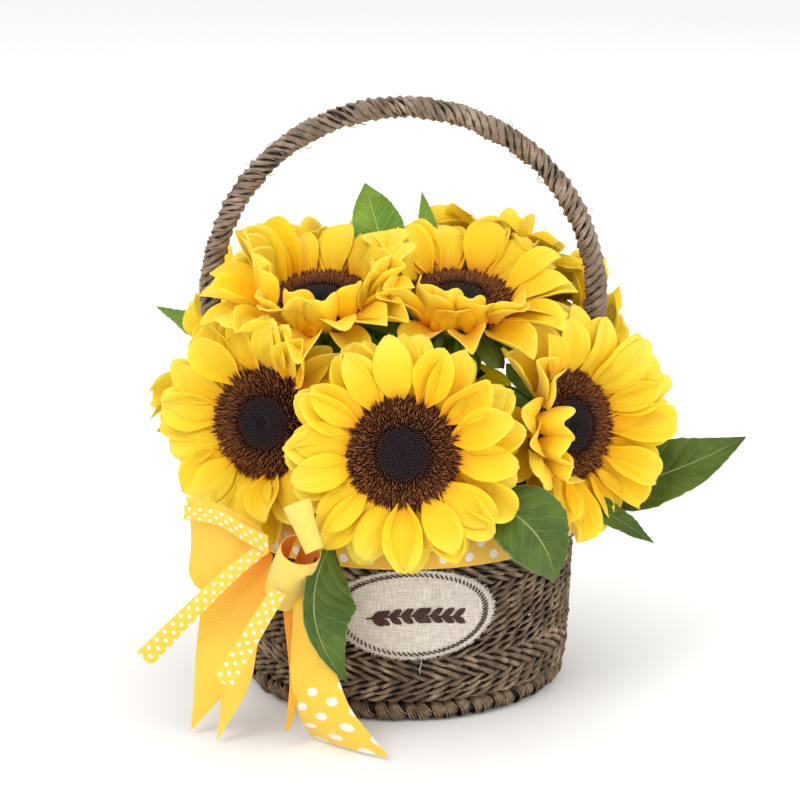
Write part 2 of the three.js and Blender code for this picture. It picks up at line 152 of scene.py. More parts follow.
class Shape:
    """A mesh being modelled with Blender's own operators."""

    def __init__(self, obj: bpy.types.Object) -> None:
        """Takes an object to work on."""
        self.obj = obj

    @classmethod
    def added(cls, operator: Callable, **settings) -> "Shape":
        """A new primitive.

        Args:
            operator: The operator that adds it.
            settings: The operator's own settings.

        Returns:
            The primitive, with its place in its mesh.
        """
        deselect_all()
        operator(**settings)
        shape = cls(bpy.context.object)
        bpy.ops.object.transform_apply(location=True, rotation=True, scale=True)
        return shape

    def activate(self) -> None:
        """Makes this the only selected object and the active one."""
        deselect_all()
        self.obj.select_set(True)
        bpy.context.view_layer.objects.active = self.obj

    def edit(self, mode: str = "VERT") -> None:
        """Enters edit mode, selecting vertices, edges or faces."""
        self.activate()
        bpy.ops.object.mode_set(mode="EDIT")
        bpy.ops.mesh.select_mode(type=mode)

    def done(self) -> None:
        """Goes back to object mode."""
        bpy.ops.object.mode_set(mode="OBJECT")

    def pick(self, test: Callable[[Vector], bool]) -> None:
        """Selects the vertices whose place passes a test, and no others."""
        mesh = bmesh.from_edit_mesh(self.obj.data)
        for vert in mesh.verts:
            vert.select = test(vert.co)
        mesh.select_flush_mode()
        bmesh.update_edit_mesh(self.obj.data)

    def pick_edges(self, test: Callable[[Vector, Vector], bool]) -> None:
        """Selects the edges whose two ends pass a test, and no others."""
        mesh = bmesh.from_edit_mesh(self.obj.data)
        for edge in mesh.edges:
            edge.select = test(edge.verts[0].co, edge.verts[1].co)
        bmesh.update_edit_mesh(self.obj.data)

    def modify(self, kind: str, **settings) -> "Shape":
        """Adds a modifier with these settings and applies it.

        Args:
            kind: The modifier's type.
            settings: Its own settings.

        Returns:
            This shape.
        """
        self.activate()
        modifier = self.obj.modifiers.new(kind.lower(), kind)
        for name, value in settings.items():
            setattr(modifier, name, value)
        bpy.ops.object.modifier_apply(modifier=modifier.name)
        return self

    def roughen(self, size: float, strength: float, seed: int = 0) -> "Shape":
        """Moves the surface in and out in soft random lumps.

        Args:
            size: Width of a lump in metres.
            strength: Greatest distance between hollows and lumps in metres.
            seed: Picks the pattern.

        Returns:
            This shape.
        """
        texture = bpy.data.textures.new("lumps", "CLOUDS")
        texture.noise_scale = size
        texture.noise_depth = 1
        self.obj.data.transform(Matrix.Translation((seed, 0, 0)))
        self.modify("DISPLACE", texture=texture, texture_coords="LOCAL", strength=strength, mid_level=0.5)
        self.obj.data.transform(Matrix.Translation((-seed, 0, 0)))
        return self

    def tone(self, value: float, name: str = "tone") -> "Shape":
        """Gives every point of the mesh one value of an attribute."""
        return self.graded(name, lambda place: value)

    def graded(self, name: str, value: Callable[[Vector], float]) -> "Shape":
        """Gives each point of the mesh its own value of an attribute, from its place."""
        mesh = self.obj.data
        held = mesh.attributes.get(name) or mesh.attributes.new(name, "FLOAT", "POINT")
        held.data.foreach_set("value", [value(vert.co) for vert in mesh.vertices])
        return self

    def copy(self, matrix: Matrix) -> "Shape":
        """A copy with its own mesh, moved by a matrix."""
        twin = self.obj.copy()
        twin.data = self.obj.data.copy()
        twin.data.transform(matrix)
        bpy.context.collection.objects.link(twin)
        return Shape(twin)

    def face_out(self) -> "Shape":
        """Turns all faces outwards."""
        self.edit("FACE")
        bpy.ops.mesh.select_all(action="SELECT")
        bpy.ops.mesh.normals_make_consistent(inside=False)
        self.done()
        return self

    def smooth(self, degrees: float = 180.0) -> "Shape":
        """Shades the faces smooth across edges up to an angle."""
        self.activate()
        bpy.ops.object.shade_smooth_by_angle(angle=math.radians(degrees))
        return self

    def remove(self) -> None:
        """Deletes the object and its mesh."""
        mesh = self.obj.data
        bpy.data.objects.remove(self.obj)
        bpy.data.meshes.remove(mesh)


def joined(shapes: Sequence[Shape]) -> Shape:
    """All the shapes as one."""
    deselect_all()
    for shape in shapes:
        shape.obj.select_set(True)
    bpy.context.view_layer.objects.active = shapes[0].obj
    if len(shapes) > 1:
        bpy.ops.object.join()
    return shapes[0]


def tubes(paths: Sequence[Sequence[Vector]], radius: float, sides: int = 2, taper: float = 1.0) -> Shape:
    """Round tubes along rows of points, as one mesh.

    Args:
        paths: The rows of points, one for each tube.
        radius: The tubes' radius in metres.
        sides: Roundness; a tube has four more sides than twice this.
        taper: The share of the radius that is left at each tube's far end.

    Returns:
        The mesh.
    """
    curve = bpy.data.curves.new("tubes", "CURVE")
    curve.dimensions = "3D"
    curve.bevel_depth = radius
    curve.bevel_resolution = sides
    curve.use_fill_caps = True
    for path in paths:
        spline = curve.splines.new("POLY")
        spline.points.add(len(path) - 1)
        for k, (point, place) in enumerate(zip(spline.points, path)):
            point.co = (*place, 1.0)
            point.radius = between(1.0, taper, k / (len(path) - 1))
    obj = bpy.data.objects.new("tubes", curve)
    bpy.context.collection.objects.link(obj)
    deselect_all()
    obj.select_set(True)
    bpy.context.view_layer.objects.active = obj
    bpy.ops.object.convert(target="MESH")
    return Shape(bpy.context.object)


def strip(rows: Sequence[Sequence[Vector]], thickness: float, wraps: bool = False) -> Shape:
    """A thin sheet through a grid of points, with its width and length in metres as its UV map.

    Args:
        rows: The rows of points, each row across the sheet.
        thickness: Thickness in metres.
        wraps: Whether the last row meets the first.

    Returns:
        The sheet.
    """
    across = len(rows[0])
    places = [point for row in rows for point in row]
    along, run = [0.0], 0.0
    middle = across // 2
    for a, b in zip(rows, rows[1:]):
        run += (b[middle] - a[middle]).length
        along.append(run)
    spans = [0.0]
    half = len(rows) // 2
    for a, b in zip(rows[half], rows[half][1:]):
        spans.append(spans[-1] + (b - a).length)
    faces, corners = [], []
    count = len(rows) if wraps else len(rows) - 1
    along.append(run + (rows[0][middle] - rows[-1][middle]).length)
    for i in range(count):
        below = (i + 1) % len(rows)
        for j in range(across - 1):
            faces.append((i * across + j, i * across + j + 1, below * across + j + 1, below * across + j))
            corners += [
                (spans[j], along[i]), (spans[j + 1], along[i]),
                (spans[j + 1], along[i + 1]), (spans[j], along[i + 1]),
            ]
    mesh = bpy.data.meshes.new("sheet")
    mesh.from_pydata(places, [], faces)
    layer = mesh.uv_layers.new(name="UVMap")
    layer.data.foreach_set("uv", [value for corner in corners for value in corner])
    obj = bpy.data.objects.new("sheet", mesh)
    bpy.context.collection.objects.link(obj)
    shape = Shape(obj)
    if thickness:
        shape.modify("SOLIDIFY", thickness=thickness, offset=0.0, use_quality_normals=True)
    return shape


def publish(
    shape: Shape, name: str, material: bpy.types.Material, slot: Slot, *nodes: str,
) -> bpy.types.Object:
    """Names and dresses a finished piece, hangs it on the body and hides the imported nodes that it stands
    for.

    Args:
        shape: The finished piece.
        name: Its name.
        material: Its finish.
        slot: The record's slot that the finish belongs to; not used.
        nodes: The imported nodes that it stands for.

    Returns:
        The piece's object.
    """
    obj = shape.obj
    obj.name = obj.data.name = name
    obj.data.materials.clear()
    obj.data.materials.append(material)
    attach(obj, BODY)
    if nodes:
        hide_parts(*nodes)
    LOG.info("%s: %d faces", name, len(obj.data.polygons))
    return obj


# --- Finishes -----------------------------------------------------------------------------------


class Graph:
    """A node tree being wired."""

    def __init__(self, tree: bpy.types.NodeTree) -> None:
        """Takes the tree to work on."""
        self.tree = tree

    def add(self, kind: str, sockets: dict | None = None, **settings) -> bpy.types.Node:
        """Adds a node.

        Args:
            kind: The node's type.
            sockets: What goes into each input: another node's output, or a value.
            settings: The node's own properties.

        Returns:
            The node.
        """
        node = self.tree.nodes.new(kind)
        for name, value in settings.items():
            setattr(node, name, value)
        for key, value in (sockets or {}).items():
            if isinstance(value, bpy.types.NodeSocket):
                self.tree.links.new(value, node.inputs[key])
            else:
                node.inputs[key].default_value = value
        return node

    def lead(self, value: bpy.types.NodeSocket, shader: bpy.types.Node, socket: str) -> None:
        """Links a value to one of the shader's sockets."""
        self.tree.links.new(value, shader.inputs[socket])

    def math(self, operation: str, first, second=0.0, third=0.0) -> bpy.types.NodeSocket:
        """The output of a Math node."""
        return self.add("ShaderNodeMath", {0: first, 1: second, 2: third}, operation=operation).outputs[0]

    def stretch(self, vector, scale: Triple) -> bpy.types.NodeSocket:
        """A vector with each of its parts multiplied."""
        return self.add("ShaderNodeVectorMath", {0: vector, 1: scale}, operation="MULTIPLY").outputs[0]

    def split(self, vector) -> tuple[bpy.types.NodeSocket, ...]:
        """A vector's three parts."""
        return tuple(self.add("ShaderNodeSeparateXYZ", {0: vector}).outputs)

    def noise(self, vector, scale: float, detail: float = 2.0, rough: float = 0.5) -> bpy.types.NodeSocket:
        """Soft noise from 0 to 1."""
        sockets = {"Vector": vector, "Scale": scale, "Detail": detail, "Roughness": rough}
        return self.add("ShaderNodeTexNoise", sockets).outputs["Fac"]

    def ramp(self, value, stops: Sequence[tuple[float, Colour]]) -> bpy.types.NodeSocket:
        """A colour for each value, from (place, colour) stops."""
        node = self.add("ShaderNodeValToRGB", {0: value})
        elements = node.color_ramp.elements
        while len(elements) < len(stops):
            elements.new(1.0)
        for element, (place, colour) in zip(elements, stops):
            element.position = place
            element.color = (*colour, 1.0)
        return node.outputs[0]

    def fade(
        self, value, low: float, high: float, start: float = 0.0, end: float = 1.0,
    ) -> bpy.types.NodeSocket:
        """A smooth step from start to end as the value goes from low to high."""
        sockets = {0: value, 1: low, 2: high, 3: start, 4: end}
        return self.add("ShaderNodeMapRange", sockets, interpolation_type="SMOOTHSTEP").outputs[0]

    def mix(self, share, first, second, blend: str = "MIX") -> bpy.types.NodeSocket:
        """Two colours mixed."""
        sockets = {0: share}
        for key, value in ((6, first), (7, second)):
            sockets[key] = value if isinstance(value, bpy.types.NodeSocket) else (*value, 1.0)
        return self.add("ShaderNodeMix", sockets, data_type="RGBA", blend_type=blend).outputs[2]

    def bump(self, height, distance: float, strength: float = 1.0, normal=None) -> bpy.types.NodeSocket:
        """A normal from a height, whose full range is a distance in metres."""
        sockets = {"Height": height, "Distance": distance, "Strength": strength}
        if normal is not None:
            sockets["Normal"] = normal
        return self.add("ShaderNodeBump", sockets).outputs[0]

    def uv(self) -> bpy.types.NodeSocket:
        """The piece's own UV map."""
        return self.add("ShaderNodeUVMap", uv_map="UVMap").outputs[0]

    def place(self) -> bpy.types.NodeSocket:
        """The point's place on the piece."""
        return self.add("ShaderNodeTexCoord").outputs["Object"]

    def attribute(self, name: str) -> bpy.types.NodeSocket:
        """The value of a point attribute."""
        return self.add("ShaderNodeAttribute", attribute_name=name).outputs["Fac"]

    def group(self, effect: type["Effect"], sockets: dict) -> bpy.types.Node:
        """Places an effect's node group."""
        return self.add("ShaderNodeGroup", sockets, node_tree=effect.tree())


class Effect:
    """A shader node group, built once and placed in several finishes."""

    name = "effect"
    takes: tuple[tuple[str, str], ...] = ()
    gives: tuple[tuple[str, str], ...] = ()

    @classmethod
    def tree(cls) -> bpy.types.NodeTree:
        """The group, built the first time it is asked for."""
        found = bpy.data.node_groups.get(cls.name)
        if found:
            return found
        tree = bpy.data.node_groups.new(cls.name, "ShaderNodeTree")
        for label, kind in cls.takes:
            tree.interface.new_socket(name=label, in_out="INPUT", socket_type=kind)
        for label, kind in cls.gives:
            tree.interface.new_socket(name=label, in_out="OUTPUT", socket_type=kind)
        graph = Graph(tree)
        entry = tree.nodes.new("NodeGroupInput")
        leave = tree.nodes.new("NodeGroupOutput")
        for socket, value in zip(leave.inputs, cls.wire(graph, entry.outputs)):
            tree.links.new(value, socket)
        return tree

    @classmethod
    def wire(cls, graph: Graph, inputs) -> Sequence[bpy.types.NodeSocket]:
        """Builds the nodes and returns what feeds each output."""
        raise NotImplementedError


class Fibres(Effect):
    """Plant fibres along V of a UV map: a height and a tone."""

    name = "fibres"
    takes = (("UV", "NodeSocketVector"), ("Place", "NodeSocketVector"), ("Along", "NodeSocketFloat"))
    gives = (("Height", "NodeSocketFloat"), ("Tone", "NodeSocketFloat"))

    @classmethod
    def wire(cls, graph: Graph, inputs) -> Sequence[bpy.types.NodeSocket]:
        """Fine and coarse noise, both stretched along the fibres."""
        across, along, _ = graph.split(inputs["UV"])
        run = graph.math("MULTIPLY", along, inputs["Along"])
        spread = graph.math("MULTIPLY", across, 9.0)
        vector = graph.add("ShaderNodeCombineXYZ", {0: spread, 1: run}).outputs[0]
        fine = graph.noise(vector, 2.6, 2.0, 0.6)
        coarse = graph.noise(vector, 0.8, 1.0)
        patches = graph.noise(inputs["Place"], 95.0, 3.0, 0.6)
        height = graph.math("MULTIPLY_ADD", coarse, 0.5, graph.math("MULTIPLY", fine, 0.5))
        tone = graph.math("MULTIPLY_ADD", patches, 0.85, graph.math("MULTIPLY", height, 0.6))
        return height, graph.math("SUBTRACT", tone, 0.225)


class Dots(Effect):
    """A staggered lattice of round dots on a UV map in metres."""

    name = "dots"
    takes = (
        ("UV", "NodeSocketVector"), ("Across", "NodeSocketFloat"), ("Along", "NodeSocketFloat"),
        ("Radius", "NodeSocketFloat"), ("Shift", "NodeSocketFloat"),
    )
    gives = (("Mask", "NodeSocketFloat"),)

    @classmethod
    def wire(cls, graph: Graph, inputs) -> Sequence[bpy.types.NodeSocket]:
        """Two square lattices, the second half a step on from the first."""
        across, along, _ = graph.split(inputs["UV"])
        masks = []
        for half in (0.0, 0.5):
            offsets = []
            steps = ((across, inputs["Across"], inputs["Shift"]), (along, inputs["Along"], 0.0))
            for value, step, shift in steps:
                cell = graph.math("ADD", graph.math("DIVIDE", graph.math("ADD", value, shift), step), half)
                near = graph.math("SUBTRACT", graph.math("FRACT", cell), 0.5)
                offsets.append(graph.math("MULTIPLY", near, step))
            squares = [graph.math("MULTIPLY", offset, offset) for offset in offsets]
            distance = graph.math("SQRT", graph.math("ADD", *squares))
            reach = graph.math("DIVIDE", distance, inputs["Radius"])
            masks.append(graph.fade(reach, 0.86, 1.0, 1.0, 0.0))
        return (graph.math("MAXIMUM", *masks),)


class Weave(Effect):
    """Plain weave on a UV map in metres: a height and a thread tone."""

    name = "weave"
    takes = (("UV", "NodeSocketVector"), ("Threads", "NodeSocketFloat"))
    gives = (("Height", "NodeSocketFloat"), ("Tone", "NodeSocketFloat"))

    @classmethod
    def wire(cls, graph: Graph, inputs) -> Sequence[bpy.types.NodeSocket]:
        """Two crossing sine waves with slubs along the threads."""
        wobble = graph.noise(inputs["UV"], 220.0, 2.0)
        across, along, _ = graph.split(inputs["UV"])
        waves = []
        for value in (across, along):
            turns = graph.math("MULTIPLY_ADD", value, inputs["Threads"], graph.math("MULTIPLY", wobble, 2.4))
            waves.append(graph.math("SINE", turns))
        checks = graph.math("MULTIPLY", *waves)
        slub_a = graph.noise(graph.stretch(inputs["UV"], (1.0, 0.08, 1.0)), 1600.0, 1.0)
        slub_b = graph.noise(graph.stretch(inputs["UV"], (0.08, 1.0, 1.0)), 1600.0, 1.0)
        slubs = graph.math("ADD", slub_a, slub_b)
        height = graph.math("MULTIPLY_ADD", checks, 0.3, graph.math("MULTIPLY", slubs, 0.5))
        return height, slubs


def principled(name: str, **settings) -> tuple[bpy.types.Material, Graph, bpy.types.Node]:
    """A new material with its shader.

    Args:
        name: The material's name.
        settings: Values for the shader's sockets, with _ for a space.

    Returns:
        The material, its graph and its shader node.
    """
    material = bpy.data.materials.new(name)
    material.use_nodes = True
    graph = Graph(material.node_tree)
    shader = material.node_tree.nodes["Principled BSDF"]
    for key, value in settings.items():
        shader.inputs[key.replace("_", " ")].default_value = value
    return material, graph, shader


@dataclass(frozen=True)
class Seagrass:
    """Dry twisted seagrass, in fibre tones from dark to pale, with painted shade in its creases."""

    name: str
    dark: Colour
    middle: Colour
    pale: Colour
    along: float
    relief: float = 0.0006

    def build(self) -> bpy.types.Material:
        """The material."""
        material, graph, shader = principled(self.name, Roughness=0.72, Specular_IOR_Level=0.3)
        fibres = graph.group(Fibres, {"UV": graph.uv(), "Place": graph.place(), "Along": self.along})
        tone = fibres.outputs["Tone"]
        colour = graph.ramp(tone, [(0.22, self.dark), (0.5, self.middle), (0.78, self.pale)])
        flecks = graph.fade(graph.noise(graph.place(), 130.0, 2.0), 0.6, 0.7)
        colour = graph.mix(graph.math("MULTIPLY", flecks, 0.35), colour, (0.115, 0.1, 0.035))
        # Painted shade in the creases: where the crown attribute is low, the colour darkens to three tenths
        # of the darkest tone.
        crease_shade = graph.fade(graph.attribute("crown"), 0.1, 0.85, 1.0, 0.0)
        colour = graph.mix(crease_shade, colour, tuple(value * 0.3 for value in self.dark))
        graph.lead(colour, shader, "Base Color")
        normal = graph.bump(fibres.outputs["Height"], self.relief, 0.9)
        graph.lead(normal, shader, "Normal")
        return material


@dataclass(frozen=True)
class PetalFinish:
    """A ray petal: orange at its base, yellow at its tip, with fine veins along it."""

    veins: float = 9.0
    relief: float = 0.00022

    def build(self) -> bpy.types.Material:
        """The material."""
        material, graph, shader = principled(
            "petal_yellow", Roughness=0.5, Specular_IOR_Level=0.2, Sheen_Weight=0.1, Subsurface_Weight=0.3,
            Subsurface_Scale=0.005, Subsurface_Radius=(1.0, 0.6, 0.08),
        )
        across, along, _ = graph.split(graph.uv())
        tone = graph.attribute("tone")
        cloud = graph.noise(graph.place(), 45.0, 2.0)
        shift = graph.math("MULTIPLY_ADD", cloud, 0.22, graph.math("MULTIPLY", tone, 0.2))
        place = graph.math("ADD", along, graph.math("SUBTRACT", shift, 0.21))
        colour = graph.ramp(place, [
            (0.0, (0.85, 0.3, 0.002)), (0.12, (1.0, 0.46, 0.003)), (0.34, (1.0, 0.6, 0.009)),
            (0.7, (1.0, 0.68, 0.024)), (1.0, (1.0, 0.76, 0.075)),
        ])
        wander = graph.math("MULTIPLY", graph.noise(graph.place(), 160.0, 1.0), 1.4)
        lines = graph.math("SINE", graph.math("MULTIPLY_ADD", across, self.veins * TURN, wander))
        streaks = graph.noise(graph.stretch(graph.uv(), (26.0, 1.6, 1.0)), 1.0, 2.0)
        veins = graph.math("MULTIPLY_ADD", lines, 0.22, streaks)
        deep = graph.math("MULTIPLY", graph.fade(veins, 0.2, 0.65, 1.0, 0.0), 0.13)
        colour = graph.mix(deep, colour, (0.9, 0.36, 0.001))
        graph.lead(colour, shader, "Base Color")
        graph.lead(graph.bump(veins, self.relief, 0.8), shader, "Normal")
        graph.lead(graph.fade(veins, 0.2, 0.9, 0.58, 0.44), shader, "Roughness")
        return material


@dataclass(frozen=True)
class DiscFinish:
    """The florets of a seed disc, by how far out they stand and how high on each floret."""

    def build(self) -> bpy.types.Material:
        """The material."""
        material, graph, shader = principled("seed_disc_florets", Roughness=0.8, Specular_IOR_Level=0.2)
        reach, lift = graph.attribute("reach"), graph.attribute("lift")
        jitter = graph.math("MULTIPLY", graph.math("SUBTRACT", graph.attribute("tone"), 0.5), 0.12)
        place = graph.math("ADD", reach, jitter)
        low = graph.ramp(place, [
            (0.0, (0.006, 0.006, 0.011)), (0.42, (0.01, 0.009, 0.013)), (0.54, (0.035, 0.009, 0.004)),
            (0.85, (0.045, 0.01, 0.004)), (1.0, (0.03, 0.005, 0.004)),
        ])
        high = graph.ramp(place, [
            (0.0, (0.05, 0.046, 0.06)), (0.4, (0.075, 0.062, 0.075)), (0.52, (0.22, 0.075, 0.03)),
            (0.8, (0.34, 0.12, 0.035)), (0.93, (0.16, 0.035, 0.018)), (1.0, (0.09, 0.014, 0.012)),
        ])
        colour = graph.mix(graph.fade(lift, 0.25, 1.0), low, high)
        graph.lead(colour, shader, "Base Color")
        grain = graph.noise(graph.place(), 1500.0, 2.0)
        graph.lead(graph.bump(grain, 0.0003, 0.6), shader, "Normal")
        return material


@dataclass(frozen=True)
class LeafFinish:
    """A leaf blade with a pale midrib, side veins and a quilted surface."""

    name: str
    blade: Colour
    light: Colour
    vein: Colour
    side_veins: float = 8.0
    side_strength: float = 0.2

    def build(self) -> bpy.types.Material:
        """The material."""
        material, graph, shader = principled(self.name, Roughness=0.5, Specular_IOR_Level=0.28)
        across, along, _ = graph.split(graph.uv())
        off = graph.math("ABSOLUTE", graph.math("SUBTRACT", across, 0.5))
        wander = graph.math("MULTIPLY", graph.math("SUBTRACT", graph.noise(graph.uv(), 7.0, 2.0), 0.5), 0.05)
        rise = graph.math("SUBTRACT", along, graph.math("MULTIPLY", graph.math("POWER", off, 0.8), 0.42))
        cell = graph.math("FRACT", graph.math("MULTIPLY", graph.math("ADD", rise, wander), self.side_veins))
        near = graph.math("ABSOLUTE", graph.math("SUBTRACT", cell, 0.5))
        side = graph.fade(near, 0.0, 0.07, 1.0, 0.0)
        rib = graph.fade(off, 0.007, 0.018, 1.0, 0.0)
        net = graph.add("ShaderNodeTexVoronoi", {
            "Vector": graph.stretch(graph.uv(), (14.0, 30.0, 1.0)), "Scale": 1.6,
        }, feature="DISTANCE_TO_EDGE").outputs["Distance"]
        fine = graph.fade(net, 0.0, 0.09, 1.0, 0.0)
        veins = graph.math("MAXIMUM", rib, graph.math("MULTIPLY", side, self.side_strength))
        patches = graph.fade(graph.noise(graph.place(), 60.0, 3.0), 0.3, 0.72)
        colour = graph.mix(patches, self.blade, self.light)
        colour = graph.mix(graph.math("MULTIPLY", fine, 0.07), colour, self.vein)
        colour = graph.mix(veins, colour, self.vein)
        edge = graph.fade(off, 0.482, 0.497)
        colour = graph.mix(graph.math("MULTIPLY", edge, 0.6), colour, self.vein)
        graph.lead(colour, shader, "Base Color")
        quilt = graph.math("SUBTRACT", graph.fade(near, 0.0, 0.4), graph.math("MULTIPLY", rib, 0.8))
        normal = graph.bump(quilt, 0.0007, 0.6)
        grain = graph.noise(graph.place(), 900.0, 2.0)
        normal = graph.bump(graph.math("MULTIPLY_ADD", fine, -0.5, grain), 0.0002, 0.6, normal)
        graph.lead(normal, shader, "Normal")
        return material


@dataclass(frozen=True)
class RibbonFinish:
    """Ribbed satin ribbon, plain or with printed dots that may begin some way along it, with painted shade in
    its rib grooves and painted orange shade where its inside attribute is set.
    """

    name: str
    base: Colour
    dot_radius: float = 0.0
    across: float = 0.01
    along: float = 0.01
    shift: float = 0.0
    start: float = 0.0
    ribs: float = 1.1e3
    # Orange of the painted shade on the parts that the inside attribute marks.
    painted_shade_colour: Colour = (0.93, 0.3, 0.004)

    def build(self) -> bpy.types.Material:
        """The material."""
        material, graph, shader = principled(
            self.name, Roughness=0.45, Specular_IOR_Level=0.35, Sheen_Weight=0.25, Sheen_Roughness=0.4,
            Subsurface_Weight=0.15, Subsurface_Scale=0.003, Subsurface_Radius=(1.0, 0.6, 0.15),
        )
        uv = graph.uv()
        across, along, _ = graph.split(uv)
        ribs = graph.math("SINE", graph.math("MULTIPLY", along, self.ribs * TURN))
        threads = graph.noise(graph.stretch(uv, (900.0, 5000.0, 1.0)), 1.0, 1.0)
        tone = graph.noise(graph.place(), 40.0, 2.0)
        deep = tuple(value * share for value, share in zip(self.base, (0.98, 0.76, 0.35)))
        colour = graph.mix(graph.math("MULTIPLY", tone, 0.6), self.base, deep)
        # Painted shade in the rib grooves: the colour turns to the deep tone where the ribs are low.
        colour = graph.mix(graph.math("MULTIPLY", graph.fade(ribs, -1.0, 0.2, 1.0, 0.0), 0.25), colour, deep)
        # Painted orange shade where the inside attribute is set.
        colour = graph.mix(graph.attribute("inside"), colour, self.painted_shade_colour)
        relief = graph.math("MULTIPLY_ADD", threads, 0.35, graph.math("MULTIPLY", ribs, 0.5))
        normal = graph.bump(relief, 0.00018, 0.8)
        if self.dot_radius:
            mask = graph.group(Dots, {
                "UV": uv, "Across": self.across, "Along": self.along, "Radius": self.dot_radius,
                "Shift": self.shift,
            }).outputs["Mask"]
            if self.start:
                mask = graph.math("MULTIPLY", mask, graph.math("GREATER_THAN", along, self.start))
            white = graph.mix(graph.math("MULTIPLY", threads, 0.12), (0.93, 0.9, 0.78), (0.8, 0.72, 0.5))
            colour = graph.mix(mask, colour, white)
            normal = graph.bump(mask, 0.00015, 0.5, normal)
            graph.lead(graph.fade(mask, 0.0, 1.0, 0.45, 0.6), shader, "Roughness")
        graph.lead(colour, shader, "Base Color")
        graph.lead(normal, shader, "Normal")
        return material


@dataclass(frozen=True)
class LinenFinish:
    """Undyed linen in a plain weave, whose threads are counted in radians for each metre."""

    threads: float = 9000.0

    def build(self) -> bpy.types.Material:
        """The material."""
        material, graph, shader = principled(
            "natural_linen", Roughness=0.9, Specular_IOR_Level=0.15, Sheen_Weight=0.2,
        )
        weave = graph.group(Weave, {"UV": graph.uv(), "Threads": self.threads})
        tone = graph.fade(weave.outputs["Tone"], 0.7, 1.3)
        colour = graph.mix(tone, (0.6, 0.52, 0.43), (0.86, 0.8, 0.72))
        stains = graph.fade(graph.noise(graph.place(), 90.0, 2.0), 0.4, 0.8)
        colour = graph.mix(graph.math("MULTIPLY", stains, 0.25), colour, (0.62, 0.54, 0.44))
        graph.lead(colour, shader, "Base Color")
        graph.lead(graph.bump(weave.outputs["Height"], 0.0004, 0.9), shader, "Normal")
        return material


@dataclass(frozen=True)
class GrainFinish:
    """A plain material with blotches and a fine grain, for stems, thread, foam and plastic."""

    name: str
    base: Colour
    other: Colour
    blotch: float
    grain: float
    relief: float
    roughness: float = 0.6

    def build(self) -> bpy.types.Material:
        """The material."""
        material, graph, shader = principled(self.name, Roughness=self.roughness, Specular_IOR_Level=0.35)
        place = graph.place()
        blotches = graph.fade(graph.noise(place, self.blotch, 3.0), 0.35, 0.68)
        colour = graph.mix(blotches, self.base, self.other)
        graph.lead(colour, shader, "Base Color")
        grain = graph.noise(place, self.grain, 2.0, 0.6)
        graph.lead(graph.bump(grain, self.relief, 0.8), shader, "Normal")
        ends = (self.roughness + 0.1, self.roughness - 0.06)
        graph.lead(graph.fade(grain, 0.3, 0.7, *ends), shader, "Roughness")
        return material


class Finishes:
    """Every material of the basket, each built once."""

    def __init__(self) -> None:
        """Builds them all."""
        self.seagrass = Seagrass("seagrass_wall", (0.05, 0.033, 0.02), (0.2, 0.138, 0.086), (0.62, 0.46, 0.3),
                                 60.0, 0.0009).build()
        self.border = Seagrass("seagrass_border", (0.06, 0.04, 0.025), (0.2, 0.135, 0.08), (0.5, 0.36, 0.23),
                               3.0, 0.0009).build()
        self.handle = Seagrass("seagrass_handle", (0.1, 0.068, 0.045), (0.29, 0.21, 0.15), (0.54, 0.43, 0.33),
                               60.0).build()
        self.petal = PetalFinish().build()
        self.disc = DiscFinish().build()
        self.leaf = LeafFinish("leaf_dark", (0.048, 0.092, 0.009), (0.1, 0.165, 0.018),
                               (0.3, 0.36, 0.12)).build()
        self.young = LeafFinish("leaf_light", (0.12, 0.25, 0.015), (0.24, 0.4, 0.04), (0.46, 0.54, 0.2),
                                side_strength=0.4).build()
        self.bract = GrainFinish("bract_green", (0.12, 0.22, 0.03), (0.24, 0.36, 0.07), 90.0, 900.0,
                                 0.0003).build()
        self.band = RibbonFinish("ribbon_wide_dotted", (0.97, 0.58, 0.07), dot_radius=0.00245,
                                 across=0.0136, along=0.0136, shift=0.002).build()
        self.tail = RibbonFinish("ribbon_tail_dotted", (0.98, 0.66, 0.07), dot_radius=0.0025,
                                 across=0.0136, along=0.0136, shift=0.004, start=0.052).build()
        self.wide = RibbonFinish("ribbon_wide_plain", (0.99, 0.67, 0.08)).build()
        # A lit copy of the plain ribbon: its paler cream is painted light, for the knot and the front loop.
        self.pale = RibbonFinish("ribbon_wide_painted_light", (1.0, 0.76, 0.17)).build()
        # A shaded copy of the plain ribbon: its deeper orange is painted shade, for the thin centre tail.
        self.shaded = RibbonFinish("ribbon_wide_painted_shade", (0.95, 0.42, 0.02)).build()
        self.narrow = RibbonFinish("ribbon_narrow_dotted", (0.98, 0.66, 0.08), dot_radius=0.00105,
                                   across=0.006, along=0.006, shift=0.001).build()
        self.linen = LinenFinish().build()
        self.thread = GrainFinish("brown_thread", (0.05, 0.022, 0.016), (0.09, 0.04, 0.028), 300.0, 2500.0,
                                  0.0003, 0.8).build()
        self.fringe = GrainFinish("linen_thread", (0.62, 0.56, 0.47), (0.8, 0.76, 0.7), 300.0, 2500.0,
                                  0.0002, 0.85).build()
        self.foam = GrainFinish("wet_foam", (0.012, 0.05, 0.018), (0.03, 0.09, 0.035), 120.0, 1800.0, 0.0006,
                                0.9).build()
        self.liner = GrainFinish("liner_black", (0.02, 0.02, 0.02), (0.03, 0.03, 0.03), 40.0, 600.0, 0.0001,
                                 0.35).build()


# --- Basket -------------------------------------------------------------------------------------


